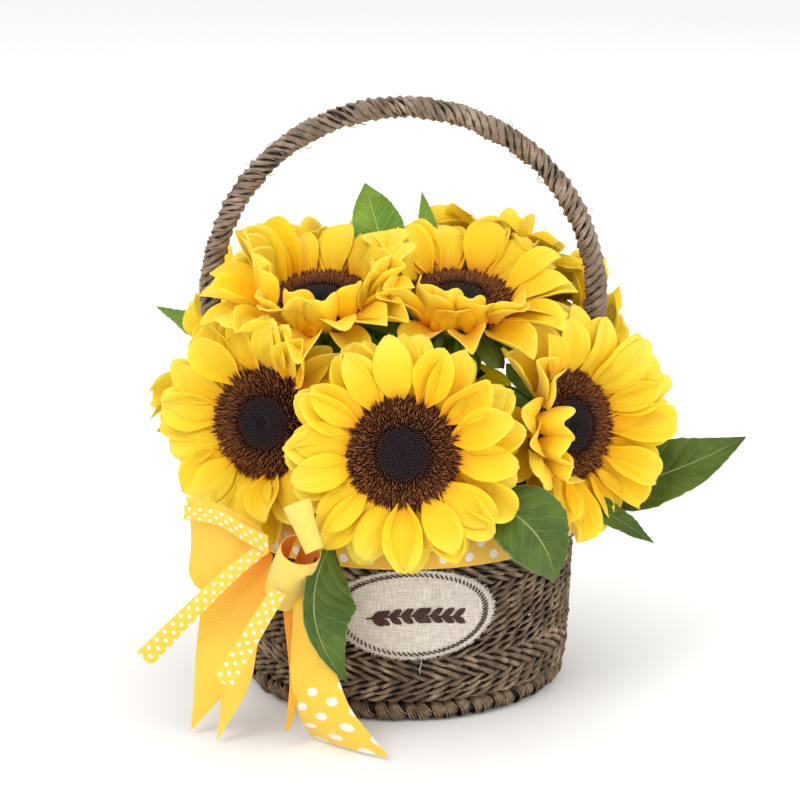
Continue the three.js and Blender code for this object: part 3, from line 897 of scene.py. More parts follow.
@dataclass(frozen=True)
class Rope:
    """Plies twisted round one axis."""

    plies: int
    ply_radius: float
    offset: float
    pitch: float
    sides: int = 6
    steps: int = 9

    def straight(self, length: float, hand: int = 1) -> Shape:
        """A straight rope from the origin along X.

        Args:
            length: Its length in metres.
            hand: 1 or -1, the way that the plies turn.

        Returns:
            The rope, with a whole number of turns.
        """
        turns = max(1, round(length / self.pitch))
        rope = Shape.added(
            bpy.ops.mesh.primitive_cylinder_add, vertices=self.sides, radius=self.ply_radius, depth=length,
            end_fill_type="NOTHING", location=(length / 2, self.offset, 0), rotation=(0, math.pi / 2, 0),
        )
        rope.edit("EDGE")
        spans = math.ceil(math.sqrt(turns * self.steps))
        for _ in range(2):
            rope.pick_edges(lambda a, b: abs(a.x - b.x) > NEAR_ZERO)
            bpy.ops.mesh.subdivide(number_cuts=spans - 1)
        bpy.ops.mesh.select_all(action="SELECT")
        for _ in range(self.plies - 1):
            bpy.ops.mesh.duplicate()
            bpy.ops.transform.rotate(
                value=TURN / self.plies, orient_axis="X", orient_type="GLOBAL", center_override=(0, 0, 0),
            )
        rope.done()
        # crown is low at the seams and inner sides of the plies and 1 at their outer crest; the seagrass
        # finish paints shade where it is low.
        seam = self.offset if self.plies > 2 else self.ply_radius / 2
        rise = self.offset + self.ply_radius - seam
        rope.graded("crown", lambda place: (place.yz.length - seam) / rise)
        rope.modify("SIMPLE_DEFORM", deform_method="TWIST", deform_axis="X", angle=hand * TURN * turns)
        return rope

    def along(self, points: Sequence[Vector], closed: bool = False, hand: int = 1) -> Shape:
        """A rope laid along a row of points.

        Args:
            points: The points that it follows.
            closed: Whether it is a ring.
            hand: The way that the plies turn.

        Returns:
            The rope.
        """
        route = [*points, points[0]] if closed else list(points)
        rope = self.straight(path_length(route), hand)
        data = bpy.data.curves.new("route", "CURVE")
        data.dimensions = "3D"
        spline = data.splines.new("POLY")
        spline.points.add(len(points) - 1)
        spline.use_cyclic_u = closed
        for point, place in zip(spline.points, points):
            point.co = (*place, 1.0)
        route_object = bpy.data.objects.new("route", data)
        bpy.context.collection.objects.link(route_object)
        rope.modify("CURVE", object=route_object, deform_axis="POS_X")
        bpy.data.objects.remove(route_object)
        if closed:
            rope.edit()
            bpy.ops.mesh.select_all(action="SELECT")
            bpy.ops.mesh.remove_doubles(threshold=self.ply_radius * 0.25)
            rope.done()
        return rope


def circle(radius: float, height: float, steps: int = 96) -> list[Vector]:
    """Points round the basket's axis."""
    angles = (TURN * i / steps for i in range(steps))
    return [Vector((radius * math.cos(angle), radius * math.sin(angle), height)) for angle in angles]


@dataclass(frozen=True)
class Border:
    """A border of overlapping wraps round a core, which circles the basket's axis."""

    name: str
    node: str
    radius: float
    height: float
    reach: float
    wraps: int = 74
    strand_shifts: tuple[float, ...] = (-1.6, -0.8, 0.0, 0.8, 1.6)
    strand_share: float = 0.14
    strand_gap: float = 0.3
    core_share: float = 0.6

    def wrap(self) -> Shape:
        """One wrap: strands side by side round the core, the outer ones smaller and splayed."""
        loop = Shape.added(
            bpy.ops.mesh.primitive_torus_add, major_segments=18, minor_segments=7,
            major_radius=self.reach * (1 - self.strand_share), minor_radius=self.reach * self.strand_share,
            rotation=(math.pi / 2, 0, 0),
        )
        # crown is low on the wrap's inner side and 1 on its outer side; the seagrass finish paints shade
        # where it is low.
        loop.graded("crown", lambda place: (place.xz.length / self.reach - 0.8) / 0.2)
        strands = []
        for i, shift in enumerate(self.strand_shifts):
            scale = 1.0 - 0.05 * shift ** 2 + 0.03 * (i % 2)
            strands.append(loop.copy(
                Matrix.Translation((0, shift * self.reach * self.strand_gap, 0))
                @ Matrix.Rotation(0.1 * (i - 2), 4, "X")
                @ Matrix.Diagonal((scale, 1.0, scale, 1))
            ))
        loop.remove()
        return joined(strands)

    def build(self, finishes: Finishes) -> None:
        """Makes and dresses the border, no two wraps quite alike."""
        rng = random.Random(len(self.name))
        wrap = self.wrap()
        shapes = []
        for i in range(self.wraps):
            angle = TURN * (i + rng.uniform(-0.16, 0.16)) / self.wraps
            shapes.append(wrap.copy(
                Matrix.Rotation(angle, 4, "Z")
                @ Matrix.Translation((self.radius, 0, self.height + rng.uniform(-0.02, 0.04) * self.reach))
                @ Matrix.Rotation(math.radians(rng.uniform(16, 34)), 4, "X")
                @ Matrix.Rotation(math.radians(rng.uniform(-20, 20)), 4, "Z")
                @ Matrix.Scale(rng.uniform(0.86, 1.08), 4)
            ))
        wrap.remove()
        core = Shape.added(
            bpy.ops.mesh.primitive_torus_add, major_segments=96, minor_segments=10, major_radius=self.radius,
            minor_radius=self.reach * self.core_share, location=(0, 0, self.height),
        )
        # The core has no crown values, so it reads 0 and takes the full painted shade of the seagrass finish.
        border = joined([*shapes, core])
        border.roughen(0.004, self.reach * 0.16, 5).roughen(0.0015, self.reach * 0.05, 6)
        publish(border.smooth(), self.name, finishes.border, Slot.SEAGRASS, self.node)


@dataclass
class Basket:
    """The woven wall and base, the wrapped borders, the liner and the foam."""

    rows: int = 20
    row_pitch: float = 0.0038
    low: float = 0.0146
    row: Rope = Rope(plies=2, ply_radius=0.00145, offset=0.00135, pitch=0.0185)
    low_radius: float = 0.0858
    high_radius: float = 0.0893
    hand_change: float = 0.15
    stakes: int = 40
    stake_radius: float = 0.0014
    stake_length: float = 0.068
    stake_ring: float = 0.0848
    stake_height: float = 0.047
    stake_lean: float = 0.05
    base_rings: int = 16
    ring_pitch: float = 0.0045
    base_height: float = 0.0031
    knob_radius: float = 0.0026
    borders: tuple[Border, ...] = (
        Border("foot_border", "foot_braid", radius=0.0806, height=0.0062, reach=0.0056),
        Border("rim_border", "rim_braid", radius=0.0886, height=0.0912, reach=0.0034),
    )
    foam_radii: tuple[float, float] = (0.0602, 0.0642)
    foam_depth: float = 0.0821
    foam_height: float = 0.05095
    seed: int = 4

    def build(self, finishes: Finishes) -> None:
        """Makes and dresses all of the basket's pieces."""
        self.wall(finishes)
        self.base(finishes)
        for border in self.borders:
            border.build(finishes)
        self.foam(finishes)
        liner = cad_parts["liner"]
        liner.data.materials.clear()
        liner.data.materials.append(finishes.liner)

    def wall(self, finishes: Finishes) -> None:
        """Rows of two-ply rope over upright stakes."""
        rng = random.Random(self.seed)
        middle = (self.low_radius + self.high_radius) / 2
        patterns = {hand: self.row.along(circle(middle, 0.0), closed=True, hand=hand) for hand in (1, -1)}
        shapes = []
        hand = 1
        for i in range(self.rows):
            share = i / (self.rows - 1)
            radius = between(self.low_radius, self.high_radius, share) + 0.0003 * rng.uniform(-1, 1)
            if rng.random() < self.hand_change:
                hand = -hand
            place = (
                Matrix.Translation((0, 0, self.low + i * self.row_pitch))
                @ Matrix.Rotation(rng.uniform(0, TURN), 4, "Z")
                @ Matrix.Diagonal((radius / middle, radius / middle, rng.uniform(0.98, 1.16), 1))
            )
            shapes.append(patterns[hand].copy(place))
        for pattern in patterns.values():
            pattern.remove()
        stake = Shape.added(
            bpy.ops.mesh.primitive_cylinder_add, vertices=8, radius=self.stake_radius,
            depth=self.stake_length,
        )
        lean = (
            Matrix.Translation((self.stake_ring, 0, self.stake_height))
            @ Matrix.Rotation(self.stake_lean, 4, "Y")
        )
        for i in range(self.stakes):
            shapes.append(stake.copy(Matrix.Rotation(TURN * i / self.stakes, 4, "Z") @ lean))
        stake.remove()
        # The stakes have no crown values, so they take the full painted shade of the seagrass finish.
        wall = joined(shapes).roughen(0.0045, 0.0015, 1).roughen(0.03, 0.0014, 2)
        publish(wall.smooth(), "wall_weave", finishes.seagrass, Slot.SEAGRASS, "basket_wall")

    def base(self, finishes: Finishes) -> None:
        """Rings of the same rope, flat, with a knob in the middle."""
        shapes = []
        for i in range(self.base_rings):
            radius = (i + 1) * self.ring_pitch
            ring = circle(radius, self.base_height, steps=max(16, int(radius * 900)))
            shapes.append(self.row.along(ring, closed=True, hand=1 if i % 2 else -1))
        knob = Shape.added(
            bpy.ops.mesh.primitive_uv_sphere_add, segments=14, ring_count=8, radius=self.knob_radius,
            location=(0, 0, self.base_height),
        )
        # The knob has no crown values, so it takes the full painted shade of the seagrass finish.
        base = joined([*shapes, knob]).roughen(0.006, 0.0008, 3)
        publish(base.smooth(), "base_spiral", finishes.seagrass, Slot.SEAGRASS, "basket_base")

    def foam(self, finishes: Finishes) -> None:
        """The block of wet foam that holds the stems, with a chamfered, pitted top."""
        foot_radius, top_radius = self.foam_radii
        foam = Shape.added(
            bpy.ops.mesh.primitive_cone_add, vertices=40, radius1=foot_radius, radius2=top_radius,
            depth=self.foam_depth, location=(0, 0, self.foam_height),
        )
        foam.edit("FACE")
        foam.pick(lambda place: place.z > self.foam_height)
        bpy.ops.mesh.inset(thickness=0.004, depth=0.0)
        for _ in range(3):
            bpy.ops.mesh.inset(thickness=0.012, depth=0.0004)
        foam.done()
        foam.modify("BEVEL", width=0.0015, segments=2, limit_method="ANGLE")
        foam.roughen(0.012, 0.0012, 6)
        publish(foam.smooth(40), "foam_block", finishes.foam, Slot.FOAM, "floral_foam")


@dataclass
class Handle:
    """The hoop wrapped in seagrass, its lashings, and the fibres that stand off it."""

    hoop_radius: float = 0.101
    hoop_height: float = 0.205
    leg: tuple = ((98, 172), (89, 134), (80.5, 100), (77.7, 84), (74.4, 13))
    wrap: Rope = Rope(plies=5, ply_radius=0.0023, offset=0.0033, pitch=0.024, sides=8, steps=16)
    binder: Rope = Rope(plies=3, ply_radius=0.0017, offset=0.0044, pitch=0.0152, sides=6, steps=12)
    core_radius: float = 0.0036
    fibres: int = 40
    fibre_radius: float = 0.00022
    fibre_root: float = 0.0055
    clear_ends: int = 34
    lashing_at: Triple = (0.0781, 0, 0.0614)
    lashing_turns: int = 5
    lashing_pitch: float = 0.0023
    lashing_radius: float = 0.0082
    twine_radius: float = 0.0011
    seed: int = 11

    def centreline(self) -> list[Vector]:
        """Points along the hoop's middle, from the right foot over the top to the left one."""
        steps = 16
        angles = (math.pi * i / steps for i in range(steps + 1))
        top = Vector((0, 0, self.hoop_height))
        arc = [top + self.hoop_radius * Vector((math.cos(angle), 0, math.sin(angle))) for angle in angles]
        right = [mm((x, 0, z)) for x, z in reversed(self.leg)]
        left = [mm((-x, 0, z)) for x, z in self.leg]
        return smooth_path([*right, *arc, *left], 150)

    def build(self, finishes: Finishes) -> None:
        """Makes and dresses the handle's pieces."""
        rng = random.Random(self.seed)
        line = self.centreline()
        rope = joined([self.wrap.along(line), self.binder.along(line)])
        rope.roughen(0.004, 0.0021, 7).roughen(0.013, 0.0022, 8)
        core = tubes([line], self.core_radius, 1)
        # The core has no crown values, so it takes the full painted shade of the seagrass finish.
        rope = joined([rope, self.stray_fibres(line, rng), core])
        publish(rope.smooth(), "handle_wrap", finishes.handle, Slot.HANDLE, "handle")
        for side, word in ((-1, "left"), (1, "right")):
            self.lashing(side, word, finishes)

    def stray_fibres(self, line: Sequence[Vector], rng: random.Random) -> Shape:
        """Short ends and small loops that stand off the wrapping.

        Args:
            line: The hoop's centreline.
            rng: The source of their places.

        Returns:
            All of them as one mesh.
        """
        paths = []
        for i in range(self.fibres):
            k = rng.randrange(self.clear_ends, len(line) - self.clear_ends - 1)
            along = (line[k + 1] - line[k]).normalized()
            out = along.cross(Vector((0, 1, 0))) * rng.choice((-1, 1))
            out = Matrix.Rotation(rng.uniform(-1.3, 1.3), 3, along) @ out
            root = line[k] + out * self.fibre_root
            reach, run = rng.uniform(0.001, 0.003), rng.uniform(-0.005, 0.005)
            if i % 3 == 0:
                side = along.cross(out)
                paths.append([
                    root + out * reach * math.sin(a) + along * 0.0022 * math.cos(a) + side * 0.0004 * a
                    for a in (math.pi * t / 6 for t in range(7))
                ])
            else:
                paths.append([
                    root + out * reach * t / 4 + along * run * (t / 4) ** 2 for t in range(5)
                ])
        # crown 1 keeps the painted crease shade off the stray fibres.
        return tubes(paths, self.fibre_radius, 0, 0.5).tone(1.0, "crown")

    def lashing(self, side: int, word: str, finishes: Finishes) -> None:
        """Twine turns that tie a leg to the wall.

        Args:
            side: 1 for the right leg, -1 for the left one.
            word: The side's name.
            finishes: The materials.
        """
        turn = Shape.added(
            bpy.ops.mesh.primitive_torus_add, major_segments=28, minor_segments=8,
            major_radius=self.lashing_radius, minor_radius=self.twine_radius,
        )
        # crown 0.8 leaves the twine almost free of painted crease shade.
        turn.tone(0.8, "crown")
        x, y, z = self.lashing_at
        turns = []
        for i in range(self.lashing_turns):
            turns.append(turn.copy(
                Matrix.Translation((side * x, y, z + i * self.lashing_pitch))
                @ Matrix.Rotation(math.radians(6 * (-1) ** i), 4, "X")
            ))
        turn.remove()
        lashing = joined(turns).roughen(0.003, 0.0004, 9)
        publish(lashing.smooth(), f"lashing_{word}", finishes.border, Slot.HANDLE, f"handle_lashing_{word}")


# --- Flowers ------------------------------------------------------------------------------------


@dataclass(frozen=True)
class PetalShape:
    """One way that a petal is bent, in shares of its length and half width."""

    rise: tuple[float, ...]
    cup: float
    groove: float
    sway: float = 0.0
    point: float = 0.8

    WIDTHS = (0.3, 0.46, 0.68, 0.86, 0.97, 1.0, 0.99, 0.91, 0.7, 0.0)

    def build(self) -> Shape:
        """The petal, one unit long along Y from the origin and one unit across, looking to +Z."""
        columns, rows = 6, len(self.WIDTHS) - 1
        petal = Shape.added(
            bpy.ops.mesh.primitive_grid_add, x_subdivisions=columns, y_subdivisions=rows, size=1,
            location=(0, 0.5, 0),
        )
        petal.edit()
        lifts = ((1 / 2, self.cup), (1 / 3, self.cup * 0.42), (1 / 6, self.groove), (0.0, -self.groove))
        for k, lift in lifts:
            petal.pick(lambda place, k=k: abs(abs(place.x) - k) < 0.01)
            bpy.ops.transform.translate(value=(0, 0, lift))
        for i in range(rows + 1):
            row = i / rows
            petal.pick(lambda place, row=row: abs(place.y - row) < 0.01)
            width = self.WIDTHS[i] if i < rows else self.point * 0.35
            deep = min(1.0, 0.35 + 1.2 * row) if i < rows else 0.3
            bpy.ops.transform.resize(value=(width, 1, deep), center_override=(0, row, 0))
            bow = -0.03 * math.sin(math.pi * row)
            rise = profile([(n / (len(self.rise) - 1), value) for n, value in enumerate(self.rise)], row)
            bpy.ops.transform.translate(value=(self.sway * row * row, bow, rise))
        petal.pick(lambda place: abs(place.x - self.sway) < 0.03 and place.y > 0.97)
        bpy.ops.transform.translate(value=(0, 0.03, 0))
        petal.done()
        return petal


@dataclass(frozen=True)
class PetalLayer:
    """A ring of petals round the disc."""

    count: int
    radius: float
    height: float
    length: float
    width: float
    pitch: float


@dataclass(frozen=True)
class Fold:
    """Petals of the innermost layers, in one direction round a head, bent up over the disc."""

    middle: float
    spread: float
    pitch: float
    length: float = 1.0
    layers: int = 1


@dataclass(frozen=True)
class Floret:
    """One floret of the disc: its widths at the foot and the tip, and its tip's lean to +X."""

    width: float
    height: float
    lean: float
    tip: float

    def build(self) -> Shape:
        """The floret, with its height graded from 0 to 1."""
        floret = Shape.added(
            bpy.ops.mesh.primitive_cone_add, vertices=5, radius1=self.width / 2,
            radius2=max(self.tip / 2, 1e-5), depth=self.height, end_fill_type="NGON",
            location=(0, 0, self.height / 2),
        )
        floret.edit()
        floret.pick(lambda place: place.z > self.height * 0.9)
        bpy.ops.transform.translate(value=(self.lean, 0, 0))
        floret.done()
        return floret.graded("lift", lambda place: place.z / self.height)


@dataclass(frozen=True)
class SeedDisc:
    """The seed disc: a low dome with a dimple, covered by florets in a spiral lattice."""

    dome_radius: float = 0.0255
    dome_depth: float = 0.006
    dome_height: float = -0.004
    dome_rings: tuple[tuple[float, float], ...] = (
        (0.003, 0.0012), (0.005, 0.0006), (0.005, -0.0004), (0.006, -0.0012), (0.004, -0.002),
    )
    bud: Floret = Floret(0.0011, 0.0012, 0.0, 0.0005)
    spike: Floret = Floret(0.001, 0.004, 0.0008, 0.0003)
    fork: Floret = Floret(0.0012, 0.0034, 0.0015, 0.0007)
    tooth: Floret = Floret(0.0021, 0.0062, 0.001, 0.0)
    florets: int = 1709
    lattice_step: float = 0.00065
    lattice_radius: float = 0.0269
    outer_radius: float = 0.028
    bud_radius: float = 0.0125
    opening_width: float = 0.002
    full_bud_radius: float = 0.012
    low_bud_radius: float = 0.003
    crown_height: float = 0.0006
    crown_drop: float = 0.0022
    dimple_depth: float = 0.0024
    dimple_radius: float = 0.0034
    teeth: int = 84
    teeth_ring: tuple[float, float] = (0.0245, 0.0262)
    teeth_height: float = -0.0012
    seed: int = 7

    def build(self) -> Shape:
        """The disc, round +Z with its rim near the origin's plane."""
        rng = random.Random(self.seed)
        shapes = [self.dome()]
        bud, spike, fork, tooth = (kind.build() for kind in (self.bud, self.spike, self.fork, self.tooth))
        golden = math.pi * (3 - math.sqrt(5))
        for n in range(1, self.florets + 1):
            radius = self.lattice_step * math.sqrt(n)
            if (radius - self.bud_radius) / self.opening_width < rng.random():
                source, height = bud, between(0.55, 1.1, min(1.0, radius / self.full_bud_radius))
                height *= 0.45 if radius < self.low_bud_radius else 1.0
            else:
                source, height = rng.choice((spike, spike, fork)), rng.uniform(0.7, 1.15)
            share = (radius / self.lattice_radius) ** 2
            dip = self.dimple_depth * math.exp(-((radius / self.dimple_radius) ** 2))
            top = self.crown_height - self.crown_drop * share - dip
            lean = math.radians(between(0, 34, share) + rng.uniform(-8, 8))
            place = (
                Matrix.Rotation(n * golden, 4, "Z") @ Matrix.Translation((radius, 0, top))
                @ Matrix.Rotation(lean, 4, "Y") @ Matrix.Rotation(rng.uniform(-0.5, 0.5), 4, "Z")
                @ Matrix.Diagonal((1, 1, height, 1))
            )
            reach = min(1.0, radius / self.outer_radius)
            shapes.append(source.copy(place).tone(rng.random()).tone(reach, "reach"))
        for n in range(self.teeth):
            angle = TURN * (n + rng.uniform(-0.3, 0.3)) / self.teeth
            place = (
                Matrix.Rotation(angle, 4, "Z")
                @ Matrix.Translation((rng.uniform(*self.teeth_ring), 0, self.teeth_height))
                @ Matrix.Rotation(math.radians(rng.uniform(46, 76)), 4, "Y")
                @ Matrix.Scale(rng.uniform(0.7, 1.0), 4)
            )
            shapes.append(tooth.copy(place).tone(rng.random()).tone(1.0, "reach"))
        for source in (bud, spike, fork, tooth):
            source.remove()
        return joined(shapes)

    def dome(self) -> Shape:
        """The dome under the florets."""
        dome = Shape.added(
            bpy.ops.mesh.primitive_cylinder_add, vertices=48, radius=self.dome_radius, depth=self.dome_depth,
            location=(0, 0, self.dome_height),
        )
        dome.edit("FACE")
        dome.pick(lambda place: place.z > self.dome_height)
        for inset, lift in self.dome_rings:
            bpy.ops.mesh.inset(thickness=inset, depth=lift)
        dome.done()
        dome.graded("lift", lambda place: 0.0)
        return dome.graded("reach", lambda place: place.xy.length / self.outer_radius).tone(0.5)


@dataclass(frozen=True)
class BractRing:
    """A ring of bracts behind the head."""

    count: int
    length: float
    pitch: float
    height: float
    start: float


@dataclass(frozen=True)
class Calyx:
    """The receptacle behind the disc with two rings of pointed bracts."""

    radius: float = 0.0215
    depth: float = 0.004
    height: float = -0.0088
    steps: tuple[tuple[float, float], ...] = ((0.92, -0.003), (0.6, -0.004), (0.42, -0.003))
    bract: PetalShape = PetalShape((0.0, 0.02, 0.02, -0.02, -0.08, -0.16), -0.1, 0.02, 0.0, 0.02)
    bract_width: float = 0.0105
    bract_root: float = 0.017
    rings: tuple[BractRing, ...] = (
        BractRing(13, 0.027, -4, -0.009, 0.0), BractRing(13, 0.022, -24, -0.0112, 0.5),
    )

    def build(self) -> Shape:
        """The cup, looking to +Z, with its bracts."""
        cup = Shape.added(
            bpy.ops.mesh.primitive_cylinder_add, vertices=24, radius=self.radius, depth=self.depth,
            location=(0, 0, self.height),
        )
        cup.edit("FACE")
        cup.pick(lambda place: place.z < self.height)
        for scale, drop in self.steps:
            bpy.ops.mesh.extrude_region_move(TRANSFORM_OT_translate={"value": (0, 0, drop)})
            bpy.ops.transform.resize(value=(scale, scale, 1), center_override=(0, 0, 0))
        cup.done()
        bract = self.bract.build()
        shapes = [cup]
        for ring in self.rings:
            for i in range(ring.count):
                shapes.append(bract.copy(
                    Matrix.Rotation(TURN * (i + ring.start) / ring.count, 4, "Z")
                    @ Matrix.Translation((0, self.bract_root, ring.height))
                    @ Matrix.Rotation(math.radians(ring.pitch), 4, "X")
                    @ Matrix.Diagonal((self.bract_width, ring.length, ring.length, 1))
                ))
        bract.remove()
        return joined(shapes)


class FlowerStock:
    """The petals, seed disc and calyx that every flower head is put together from."""

    SHAPES = (
        PetalShape((0.0, 0.07, 0.11, 0.11, 0.07, 0.0), 0.1, 0.03),
        PetalShape((0.0, 0.05, 0.09, 0.12, 0.13, 0.12), 0.22, 0.025, 0.05),
        PetalShape((0.0, 0.09, 0.14, 0.12, 0.03, -0.1), 0.06, 0.035, -0.06),
        PetalShape((0.0, 0.06, 0.1, 0.1, 0.05, -0.03), -0.08, 0.03, 0.08, 1.0),
        PetalShape((0.0, 0.04, 0.09, 0.14, 0.19, 0.24), 0.3, 0.02, -0.04),
        PetalShape((0.0, 0.08, 0.12, 0.12, 0.1, 0.06), 0.14, 0.04, 0.0, 0.5),
    )

    def __init__(self) -> None:
        """Models one of each."""
        self.petals = [shape.build() for shape in self.SHAPES]
        self.disc = SeedDisc().build()
        self.calyx = Calyx().build()

    def remove(self) -> None:
        """Deletes the originals once all the flowers are made."""
        for shape in (*self.petals, self.disc, self.calyx):
            shape.remove()


@dataclass
class Sunflower:
    """One cut flower: petals in layers, seed disc, calyx and stem."""

    name: str
    at: Triple
    turn: float
    tilt: float
    folds: tuple[Fold, ...] = ()
    over: tuple[str, ...] = ()
    layers: tuple[PetalLayer, ...] = (
        PetalLayer(14, 0.0255, -0.002, 0.032, 0.0195, 12),
        PetalLayer(15, 0.0235, -0.0038, 0.0365, 0.0205, 2),
        PetalLayer(12, 0.022, -0.006, 0.038, 0.0195, -8),
    )
    lift: float = 0.0
    slack: float = 0.009
    rim_room: float = 0.0055
    handle_range: float = 0.08
    handle_room: float = 0.0095
    petal_thickness: float = 0.00035
    bract_thickness: float = 0.0005
    foot_share: float = 0.42
    foot_height: float = 0.034
    foam_top: float = 0.096
    stem_radius: float = 0.0037

    def matrix(self) -> Matrix:
        """The matrix from the head's own axes, with +Z out of its face, to its place."""
        turn, tilt = math.radians(self.turn), math.radians(self.tilt)
        axis = Vector((math.sin(turn) * math.cos(tilt), -math.cos(turn) * math.cos(tilt), math.sin(tilt)))
        side = Vector((math.cos(turn), math.sin(turn), 0))
        up = axis.cross(side)
        held = Matrix((side, up, axis)).transposed().to_4x4()
        held.translation = mm(self.at)
        return held

    def limits(self, flowers: Sequence["Sunflower"], handle: Sequence[Vector]) -> list[tuple[Vector, float]]:
        """The planes that the petals' tips stay behind, as normals and distances from the head's middle.

        Args:
            flowers: All the flowers.
            handle: Points along the handle.

        Returns:
            The planes.
        """
        here = mm(self.at)
        planes = []
        for other in flowers:
            if other is not self and other.name not in self.over:
                away = mm(other.at) - here
                planes.append((away.normalized(), away.length / 2 + self.slack))
        for point in handle:
            away = point - here
            if away.length < self.handle_range:
                planes.append((away.normalized(), away.length - self.handle_room))
        return planes

    def build(self, stock: FlowerStock, flowers: Sequence["Sunflower"], handle: Sequence[Vector],
              finishes: Finishes) -> None:
        """Makes and dresses the flower.

        Args:
            stock: The parts that it is put together from.
            flowers: All the flowers, which its petals make room for.
            handle: Points along the handle.
            finishes: The materials.
        """
        rng = random.Random(self.name)
        head = self.matrix()
        planes = self.limits(flowers, handle)
        shapes = []
        for depth, layer in enumerate(self.layers):
            start = rng.random()
            folds = [fold for fold in self.folds if depth < fold.layers]
            for i in range(layer.count):
                angle = 360 * (i + start + rng.uniform(-0.16, 0.16)) / layer.count
                shapes.append(self.petal(stock, layer, folds, angle % 360, head, planes, rng))
        petals = joined(shapes)
        petals.roughen(0.022, 0.004, 1).roughen(0.009, 0.0013, 2)
        petals.modify("SUBSURF", levels=1, render_levels=1)
        petals.modify("SOLIDIFY", thickness=self.petal_thickness, offset=0.0)
        publish(petals.smooth(), f"{self.name}_petals", finishes.petal, Slot.PETAL,
                f"{self.name}_flower_petals")
        turn = Matrix.Rotation(rng.uniform(0, 6.28), 4, "Z")
        publish(stock.disc.copy(head @ turn), f"{self.name}_seed_disc", finishes.disc, Slot.DISC,
                f"{self.name}_flower_disc")
        calyx = stock.calyx.copy(head @ turn)
        calyx.modify("SOLIDIFY", thickness=self.bract_thickness, offset=0.0)
        whole = joined([calyx, self.stalk(head)])
        publish(whole.smooth(50), f"{self.name}_stem_and_calyx", finishes.bract, Slot.STEM,
                f"{self.name}_flower_stem")

    def petal(self, stock: FlowerStock, layer: PetalLayer, folds: Sequence[Fold], angle: float, head: Matrix,
              planes: Sequence[tuple[Vector, float]], rng: random.Random) -> Shape:
        """One petal, bent up or cut short until its tip is clear of its neighbours.

        Args:
            stock: The parts to copy.
            layer: The ring that it belongs to.
            folds: The folds that bend that ring.
            angle: Its direction round the head in degrees, 0 to the head's right and 90 up.
            head: The head's matrix.
            planes: What its tip stays behind.
            rng: The source of its small differences.

        Returns:
            The petal in its place.
        """
        source = rng.choice(stock.petals)
        length = layer.length * rng.uniform(0.93, 1.06)
        width = layer.width * rng.uniform(0.88, 1.1)
        pitch = layer.pitch + self.lift + rng.uniform(-6, 8)
        roll = rng.uniform(-11, 11)
        share, fold = max(
            ((1 - (self.between_angles(angle, fold.middle) / fold.spread) ** 2, fold) for fold in folds),
            key=lambda pair: pair[0], default=(0.0, None),
        )
        if share > 0:
            pitch += (fold.pitch - layer.pitch) * share
            length *= between(1.0, fold.length, share)
        centre = head.translation
        for _ in range(24):
            clear_of_disc = self.rim_room * max(0.0, math.sin(math.radians(pitch - layer.pitch)))
            place = (
                head @ Matrix.Rotation(math.radians(angle - 90), 4, "Z")
                @ Matrix.Translation((0, layer.radius + clear_of_disc, layer.height))
                @ Matrix.Rotation(math.radians(pitch), 4, "X") @ Matrix.Rotation(math.radians(roll), 4, "Y")
                @ Matrix.Diagonal((width, length, length, 1))
            )
            tips = [place @ Vector((x, y, 0.06)) for x, y in ((0, 1), (0.4, 0.7), (-0.4, 0.7))]
            if all((tip - centre).dot(normal) < reach for tip in tips for normal, reach in planes):
                break
            if pitch < 62:
                pitch += 5
            else:
                length *= 0.95
        return source.copy(place).tone(rng.random())

    @staticmethod
    def between_angles(first: float, second: float) -> float:
        """The smaller angle between two directions, in degrees."""
        return abs((first - second + 180) % 360 - 180)

    def stalk(self, head: Matrix) -> Shape:
        """The stem from the calyx down into the foam."""
        x, y = (part * MM * self.foot_share for part in self.at[:2])
        points = [
            head @ Vector((0, 0, -0.016)), head @ Vector((0, 0, -0.034)),
            Vector((x, y, self.foam_top)), Vector((x, y, self.foot_height)),
        ]
        return tubes([smooth_path(points, 18)], self.stem_radius, 2)


# --- Leaves -------------------------------------------------------------------------------------


